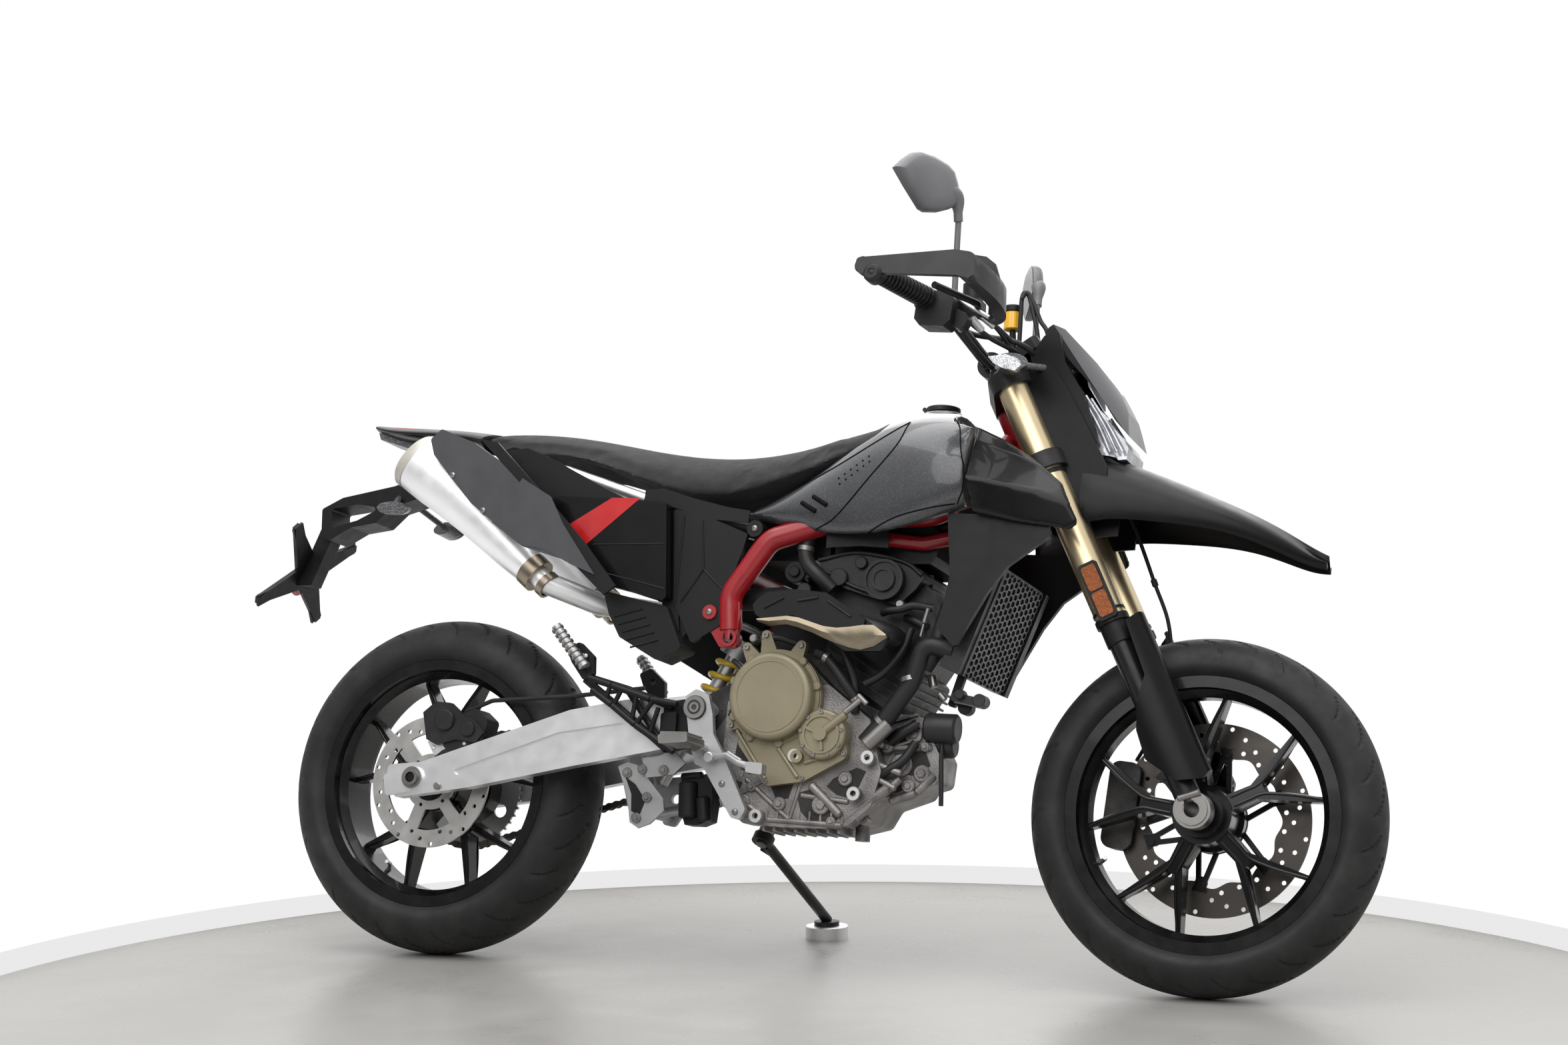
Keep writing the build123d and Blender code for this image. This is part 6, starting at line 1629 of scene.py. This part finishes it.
@dataclass
class ChassisTrim:
    """Pivot caps, adjusters, peg teeth, lamps and reflectors."""

    def build(self) -> None:
        """Makes the trim of the chassis."""
        pivot = Vector((566, -162, 451))
        rings = [band(pivot, RIGHT, 20, 13, 3, 36), band(pivot, RIGHT, 9, 5, 3, 24),
                 band((0, -143, 315.85), RIGHT, 20, 12, 4, 36),
                 band((1443, -117, 301.54), RIGHT, 26, 15, 4, 40)]
        rings.append(cup((1420, -116, 318), (1456, -120, 330), 6, 16))
        ends = block((-30, -138, 306), (1, 0, 0.2), (-0.2, 0, 1), (56, 6, 40), 4)
        add("axle_blocks", [both_sides(ends)], ALLOY, smooth=False)
        adjust = [cup((52, -137, 302), (52, -141, 302), 7, 20),
                  cup((-58, -124, 316), (-44, -124, 316), 6, 16)]
        add("chassis_rings", [both_sides(part) for part in rings[:3] + adjust], DULL_STEEL)
        add("front_axle_ring", rings[3:], DULL_STEEL, Body.STEERING)
        teeth = []
        for k in range(9):
            y = -194 - 8 * k
            teeth.append(block((574, y, 392.5), FORWARD, UP, (50, 3.6, 6), 1))
        for k in range(8):
            t = k / 7
            x, y, z = 344 - 48 * t, -176 - 6 * t, 528 + 58 * t
            teeth.append(band((x, y, z), (-0.6, -0.05, 0.8), 11.6, 8.6, 4, 14))
        add("peg_teeth", pairs(teeth), DULL_STEEL)
        add("tail_lens", [block((-186, 0, 1002), (-1, 0, 0.1), (0.1, 0, 1),
                                (22, 64, 9), 3)], RED_LENS)
        bracket = plate(((-4, 389), (94, 397), (70, 370), (12, 364)), -90, -85)
        pins = [cup((x, y, z), (x, y - 5, z), 4.2, 14) for x, y, z in (
            (10, -90, 378), (76, -90, 386), (332, -164, 548), (348, -164, 540), (340, -164, 520))]
        add("bracket_pieces", [bracket] + pins, ALLOY, smooth=False)
        add("holder_reflector", [cup((-376, 0, 700), (-381, 0, 702.5), 20, 28)], RED_LENS)
        self._right_fittings()
        springs = [cup((640, -172, 372), (672, -186, 356), 3, 10),
                   cup((606, -176, 362), (606, -180, 362), 9, 20)]
        add("pedal_fittings", springs, STEEL)

    def _right_fittings(self) -> None:
        """The truss webs, the caliper's body, the linkage plate and the canister beside it."""
        webs = []
        for start, end, radius in (((357, 501), (405, 487), 6), ((405, 487), (483, 463), 6),
                                   ((483, 463), (536, 455), 6), ((366, 479), (408, 452), 6),
                                   ((408, 452), (457, 417), 6), ((457, 417), (536, 370), 6),
                                   ((404, 492), (395, 460), 4.5), ((427, 484), (412, 452), 4.5),
                                   ((456, 472), (449, 421), 4.5), ((488, 460), (458, 417), 4.5),
                                   ((500, 449), (487, 403), 4.5)):
            webs.append(bar(start, end, -168, radius, 14))
        add("bracket_webs", pairs(webs), MATT_BLACK)
        caliper = ((-14, 442), (11, 463), (41, 461), (68, 440), (98, 429), (118, 408), (102, 388), (60, 392),
                   (20, 382), (-2, 392))
        body = [plate(caliper, -99, -84), cup((34, -96, 428), (34, -106, 428), 20, 32, 3),
                cup((84, -96, 412), (84, -104, 412), 14, 28, 2)]
        add("rear_caliper_body", body, ENGINE_BLACK, smooth=False)
        rocker = ((403, 349), (422, 357), (441, 352), (471, 321), (496, 294), (499, 273), (473, 248),
                  (451, 240), (434, 250), (427, 292))
        strap = ((453, 364), (484, 368), (514, 379), (538, 356), (517, 336), (464, 329))
        add("linkage_faces", [plate(rocker, -112, -106), plate(strap, -121, -114)], LINK_ALLOY, smooth=False)
        bolts = []
        for x, z, y in ((456, 344, -121), (498, 343, -121), (423, 338, -112), (465, 295, -112),
                        (447, 258, -112)):
            bolts.append(cup((x, y + 2, z), (x, y - 5, z), 9, 24, 1.5))
            bolts.append(cup((x, y - 3, z), (x, y - 8, z), 5.5, 6, 1))
        bolts.append(band((0, -146, 315.9), (0, -1, 0), 15, 9.5, 8, 32))
        add("linkage_bolts", bolts, DULL_STEEL)
        canister = ((522, 330), (579, 334), (584, 300), (580, 258), (560, 250), (534, 250), (524, 277))
        black = [plate(canister, -96, -58), cup((536, -92, 326), (540, -92, 262), 19, 28, 3),
                 cup((566, -96, 300), (572, -96, 256), 13, 24, 3),
                 cup((520, -90, 334), (560, -90, 338), 8, 20, 2),
                 plate(((420, 330), (440, 318), (462, 290), (452, 262), (436, 270), (434, 300)), -113.5,
                       -111)]
        black.append(cup((0, -140, 315.9), (0, -147, 315.9), 9.3, 24))
        add("linkage_canister", black, MATT_BLACK, smooth=False)
        for node in ("foot_pedals", "footrest_plates"):
            split_finish(node, DULL_STEEL, lambda p, _: 540 < p.x < 608 and p.z > 372 and abs(p.y) > 186)


@dataclass
class WheelTrim:
    """Disc carriers, sensor rings and spoke ribs."""

    def build(self) -> None:
        """Makes the trim of both wheels and darkens the front disc's carrier."""
        hub = BIKE.FRONT_AXLE
        split_finish("front_disc", WHEEL_BLACK, lambda p, _: math.hypot(p.x - hub.x, p.z - hub.z) < 124)
        slots = []
        for k in range(36):
            a = 2 * math.pi * k / 36
            out = spoke(a)
            slots.append(block(hub + out * 40 + Vector((0, 69, 0)), out, LEFT, (7, 3, 2), 0.3))
        add("sensor_ring", slots + [band(hub + Vector((0, 68, 0)), LEFT, 47, 43, 2, 48)],
            STEEL, Body.FRONT_WHEEL, smooth=False)
        edge = [(112 + 4 * math.cos(12 * a), a) for a in (2 * math.pi * k / 180 for k in range(180))]
        outer = [(129, 2 * math.pi * k / 180) for k in range(180)]
        holes = [(120 if k % 2 else 123, 2 * math.pi * (k + 0.5) / 24) for k in range(24)]
        add("front_disc_band", [sheet([outer, edge], holes, 4.2, hub + Vector((0, 64, 0)), 4.6)],
            FRONT_DISC, Body.FRONT_WHEEL, smooth=False)
        for name, body, axle, first in (("front", Body.FRONT_WHEEL, BIKE.FRONT_AXLE, 26),
                                        ("rear", Body.REAR_WHEEL, BIKE.REAR_AXLE, 90)):
            ribs = []
            for pair in range(5):
                for lean in (-1, 1):
                    for side in (-1, 1):
                        points = []
                        for radius, spread in ((54, 8.4), (80, 5.8), (104, 4.8), (130, 8.6),
                                               (160, 12.6), (198, 16.6)):
                            a = math.radians(first + 72 * pair + lean * spread)
                            y = side * (29.6 - (radius - 36) * 0.088)
                            points.append(axle + spoke(a, radius) + LEFT * y)
                        ribs.append(tube(smooth_path([tuple(p) for p in points], 4), 3, 8))
            add(name + "_spoke_ribs", ribs, WHEEL_BLACK, body)


# ------------------------------------------------------------------ screws
@dataclass
class Fasteners:
    """Screw heads on covers, plates and panels."""

    def heads(self) -> dict[str, bpy.types.Object]:
        """The stamps of each kind of screw, 1 mm in radius."""
        return {
            "hex": turned_stamp("screw_hex", ((1.25, 0), (1.25, 0.12), (0.95, 0.14), (0.95, 0.75),
                                              (0.82, 0.85)), 6),
            "socket": turned_stamp("screw_socket", ((1, 0), (1, 0.78), (0.88, 0.9), (0.5, 0.9),
                                                    (0.46, 0.4)), 12),
            "button": turned_stamp("screw_button", ((1, 0), (0.94, 0.22), (0.72, 0.42), (0.42, 0.5),
                                                    (0.38, 0.2)), 12),
        }

    def build(self, repeater: Repeater) -> None:
        """Sets every screw, one piece for each body and kind."""
        heads = self.heads()
        chassis: list[tuple[Point, Point, Point, float]] = []
        for k in range(9):
            angle = math.radians(12 + k * 40)
            chassis.append((around((803, -152, 409), 38, angle), RIGHT, FORWARD, 3.6))
        for x, z in ((683, 584), (750, 566), (648, 562), (628, 424)):
            chassis.append(((x, -135, z), RIGHT, FORWARD, 5))
        for x, z in ((655, 338), (700, 326), (768, 334), (842, 378), (826, 436)):
            chassis.append(((x, -138, z), RIGHT, FORWARD, 4.2))
        for x, z in ((688, 266), (863, 311), (886, 369)):
            chassis.append(((x, -126, z), RIGHT, FORWARD, 4.6))
        repeater.spread("screws_engine", heads["socket"], chassis, DULL_STEEL, Body.CHASSIS, "steel", True)
        panels = [((x, s * y, z), (0, float(s), 0), FORWARD, 6) for s in (-1, 1) for x, y, z in (
            (579, 156.5, 622), (654, 152.5, 773), (70, 216.5, 868), (140, 216.5, 800),
            (655, 158.5, 270), (627, 158.5, 318))]
        repeater.spread("screws_panels", heads["button"], panels, DULL_STEEL, Body.CHASSIS, "steel", True)
        front = []
        for k in range(6):
            angle = math.radians(-(20 + k * 60))
            front.append((around((1443, 66.5, 301.5), 47, angle), LEFT, FORWARD, 4.5))
        repeater.spread("screws_front_hub", heads["button"], front, STEEL, Body.FRONT_WHEEL, "steel", True)


SMOOTHED = (
    ("hand_guards", DARK_PLASTIC, Body.STEERING, "matt_black"),
    ("fork_guards", COWL_BLACK, Body.STEERING, "matt_black"),
    ("beak", COWL_BLACK, Body.STEERING, "gloss_black"),
)
MOULDED = (
    ("fuel_tank", GREY_PAINT, Body.CHASSIS, "grey_paint", 0.0045, 10),
    ("front_shrouds", GLOSS_BLACK, Body.CHASSIS, "gloss_black", 0.003, 12),
)


def main() -> None:
    """Builds the studio and every sub-assembly in order."""
    logging.basicConfig(level=logging.INFO, format="%(name)s: %(message)s")
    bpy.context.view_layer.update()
    Studio().build()
    paint_nodes()
    repeater = Repeater("set on points")
    Tyre("front_tyre", BIKE.FRONT_AXLE, 300, 60, 49, 15, Body.FRONT_WHEEL).build()
    Tyre("rear_tyre", BIKE.REAR_AXLE, 314, 80, 67, 15, Body.REAR_WHEEL).build()
    WheelFittings().build()
    DriveChain().build(repeater)
    ShockSpring().build()
    SeatPad().build()
    RadiatorGuard().build(repeater)
    Fasteners().build(repeater)
    for node, finish, body, slot in SMOOTHED:
        smoothed(node, finish, body)
    for node, finish, body, slot, voxel, rounds in MOULDED:
        moulded(node, finish, body, voxel, rounds)
    for trim in (ForkTrim, Cockpit, FlankTrim, InnerPanels, EngineTrim, ExhaustTrim, ChassisTrim, WheelTrim):
        trim().build()


if __name__ == "__main__":
    main()
